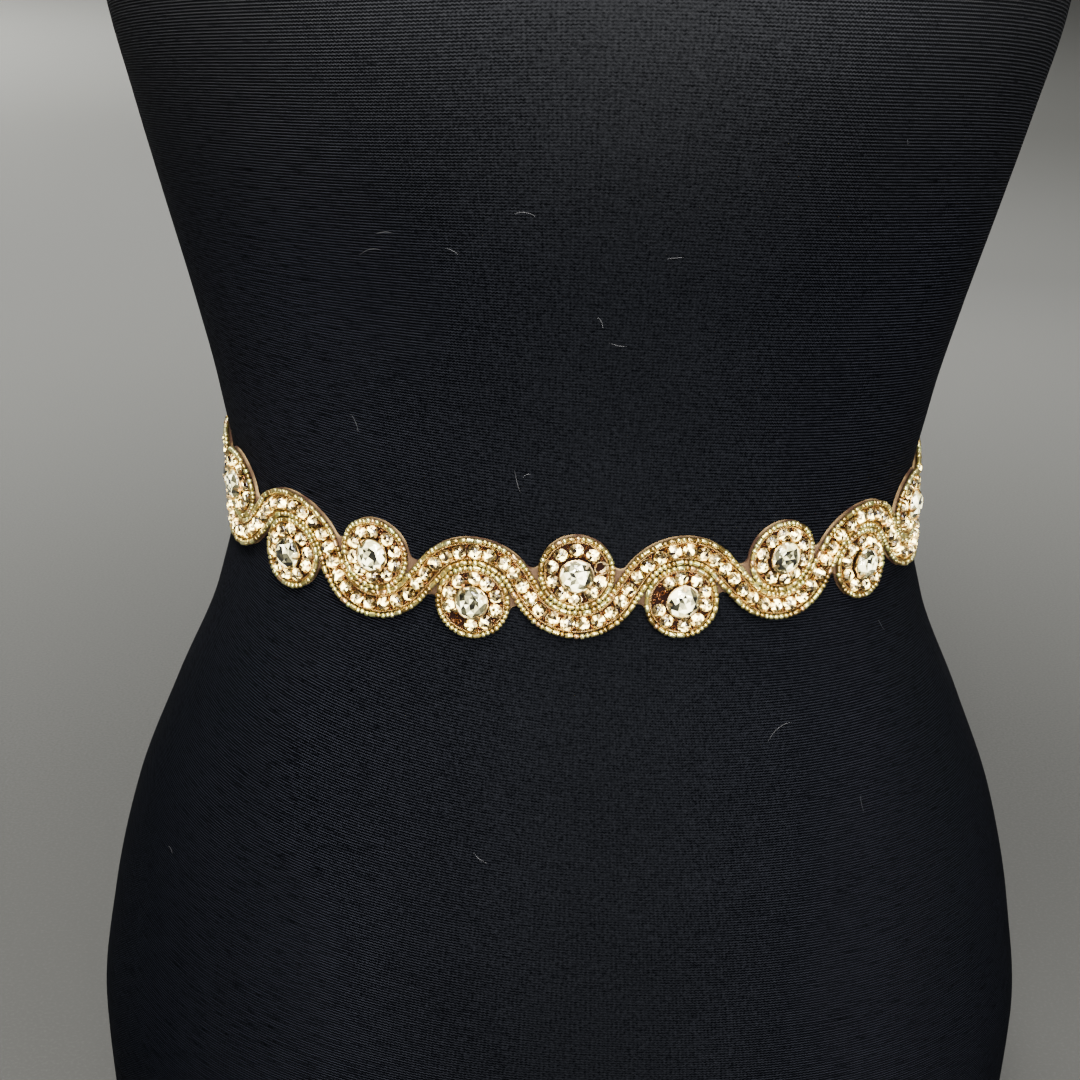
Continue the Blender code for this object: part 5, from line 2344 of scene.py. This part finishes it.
@dataclass
class Studio:
    """A floor, pale away from the form and darkened round it by a painted shadow, soft lights, a grey
    surround and the camera.
    """

    floor_half: float = 12.0
    camera_place: Point = (-0.0214, -0.650, 0.5152)
    yaw: float = np.radians(0.88)
    pitch: float = np.radians(20.34)
    roll: float = np.radians(1.2)
    sensor: float = 36.0
    # The focal length and the picture's width, in pixels.
    focal: float = 1900
    picture: float = 1080
    clip: Pair = (0.02, 60.0)
    lamps: tuple[Lamp, ...] = (
        Lamp("key", (-0.2, -0.75, 1.65), (0, 0, 0.36), 0.45, 32.0, (1.0, 0.985, 0.95)),
        Lamp("near", (-0.08, -0.95, 1.05), (0, 0, 0.42), 0.3, 16.0, (1.0, 0.99, 0.96)),
        Lamp("glint", (0.3, -1.5, 0.8), (0, 0, 0.3), 0.12, 5.0, (1.0, 0.99, 0.95)),
        Lamp("low_glint", (-0.1, -1.45, 0.42), (0, 0, 0.3), 0.12, 18.0, (1.0, 0.98, 0.94)),
        Lamp("low_right", (0.9, -1.2, 0.45), (0, 0, 0.25), 0.4, 12.0, (0.97, 0.98, 1.0)),
        Lamp("back", (-0.1, 2.0, 1.6), (0, 0, 0.35), 1.0, 36.0, (0.98, 0.99, 1.0)),
        Lamp("back_right", (1.2, 1.4, 1.3), (0, 0, 0.35), 0.6, 6.0, (1.0, 0.99, 0.97)),
        Lamp("back_glint", (0.35, 1.5, 0.8), (0, 0, 0.25), 0.15, 8.0, (1.0, 0.98, 0.95)),
        Lamp("far_floor", (-4.2, 4.2, 4.2), (-3.4, 3.6, 0), 3.0, 370.0, (1.0, 1.0, 0.98), 84),
        Lamp("near_floor", (2.0, -5.2, 4.2), (1.4, -4.4, 0), 3.0, 300.0, (1.0, 1.0, 0.98)),
        Lamp("left_floor", (-1.5, 0.7, 1.5), (-1.1, 0.5, 0), 0.5, 10.0, (1.0, 1.0, 0.98), 80),
        Lamp("overhead", (0, 0, 7.0), (0, 0.01, 0), 14.0, 395.0, (1.0, 1.0, 0.985)),
    )
    # The surround's light at the horizon and overhead, each with the height it holds to.
    horizon: Colour = (0.20, 0.20, 0.195)
    overhead: Colour = (0.035, 0.035, 0.036)
    band: Pair = (0.06, 0.30)

    def build(self) -> None:
        """Builds the floor, the lights, the surround and the camera."""
        self._floor()
        for lamp in self.lamps:
            lamp.build()
        self._surround()
        self._camera()

    def _floor(self) -> None:
        """A flat square."""
        h = self.floor_half
        mesh = bpy.data.meshes.new("floor")
        mesh.from_pydata([(-h, -h, 0), (h, -h, 0), (h, h, 0), (-h, h, 0)], [], [(0, 1, 2, 3)])
        mesh.materials.append(PaleFloor().material())
        add_object("floor", mesh)

    def _surround(self) -> None:
        """A grey world, paler in a low band all round the horizon."""
        world = bpy.data.worlds.new("surround")
        graph = ShaderGraph(world, "Background", "OutputWorld")
        height = graph.split(graph.node("TexCoord").outputs["Generated"])[2]
        stops = list(zip(self.band, (self.horizon, self.overhead)))
        graph.set(Color=graph.node("ValToRGB", {"stops": stops}, {0: height}).outputs[0])
        bpy.context.scene.world = world

    def _camera(self) -> None:
        """The camera, from its yaw, pitch and roll."""
        level = Vector((np.cos(self.yaw), -np.sin(self.yaw), 0))
        across, deep = (turn * np.cos(self.pitch) for turn in (np.sin(self.yaw), np.cos(self.yaw)))
        ahead = Vector((across, deep, -np.sin(self.pitch)))
        above = level.cross(ahead)
        right = level * np.cos(self.roll) + above * np.sin(self.roll)
        up = above * np.cos(self.roll) - level * np.sin(self.roll)
        data = bpy.data.cameras.new("camera")
        data.sensor_width = self.sensor
        data.lens = self.sensor * self.focal / self.picture
        data.clip_start, data.clip_end = self.clip
        camera = add_object("camera", data)
        turn = Matrix((right, up, -ahead)).transposed().to_4x4()
        camera.matrix_world = Matrix.Translation(self.camera_place) @ turn
        bpy.context.scene.camera = camera


# ---- the whole
ROSETTE_WEAR = {5: {"lost": 4}, 6: {"empty": 8}, 7: {"lost": 2}}
# Number: how far a centre crystal's claws are turned from the four quarters.
CRYSTAL_TURNS = {4: np.pi / 4, 5: 0.5, 6: 0.9, 8: 0.3, 9: 0.7}
TAILS = {
    "tail_left": TailCut(Hand.LEFT, end=27.0, drop=214.0, slant=9.0),
    "tail_right": TailCut(Hand.RIGHT, end=33.0, drop=232.0, slant=-9.0),
}


def declare_cloth(ties: RibbonTies) -> None:
    """Works out the cloth's outline and each side's length from its tab to the centre back, and states
    neither.

    Args:
        ties: The ribbon, for the flat pattern.
    """
    pattern = ties.pattern
    along = np.linspace(pattern.start, pattern.end, 1200)
    low, high = pattern.outline(along, Bank.BELOW), pattern.outline(along, Bank.ABOVE)
    for side in Hand:
        from_tab = pattern.wrap.half_round(side) - pattern.tab_at(side)


def main() -> None:
    """Builds every sub-assembly in order and reports each piece."""
    logging.basicConfig(level=logging.INFO, format="%(message)s")
    form = FormShape()
    pattern = SashPattern(WaistWrap(form))
    dress_form, ties = DressForm(form), RibbonTies(pattern)
    made = [dress_form.build_jersey(), dress_form.build_cap(), Backing(pattern).build()]
    made += JewelBand(pattern).build()
    for number in range(1, len(pattern.rosettes) + 1):
        made.append(Rosette(pattern, number, **ROSETTE_WEAR.get(number, {})).build())
        made.append(CentreCrystal(pattern, number, CRYSTAL_TURNS.get(number, 0.0)).build())
    made += [*(ties.build_run(side) for side in Hand), ties.build_knot()]
    made += [ties.build_tail(node, cut) for node, cut in TAILS.items()]
    made += [Stitches(pattern).build(), LooseFibres(form).build()]
    for piece in made:
        LOG.info("%s: %d faces", piece.name, len(piece.data.polygons))
    declare_cloth(ties)
    Studio().build()


if __name__ == "__main__":
    main()
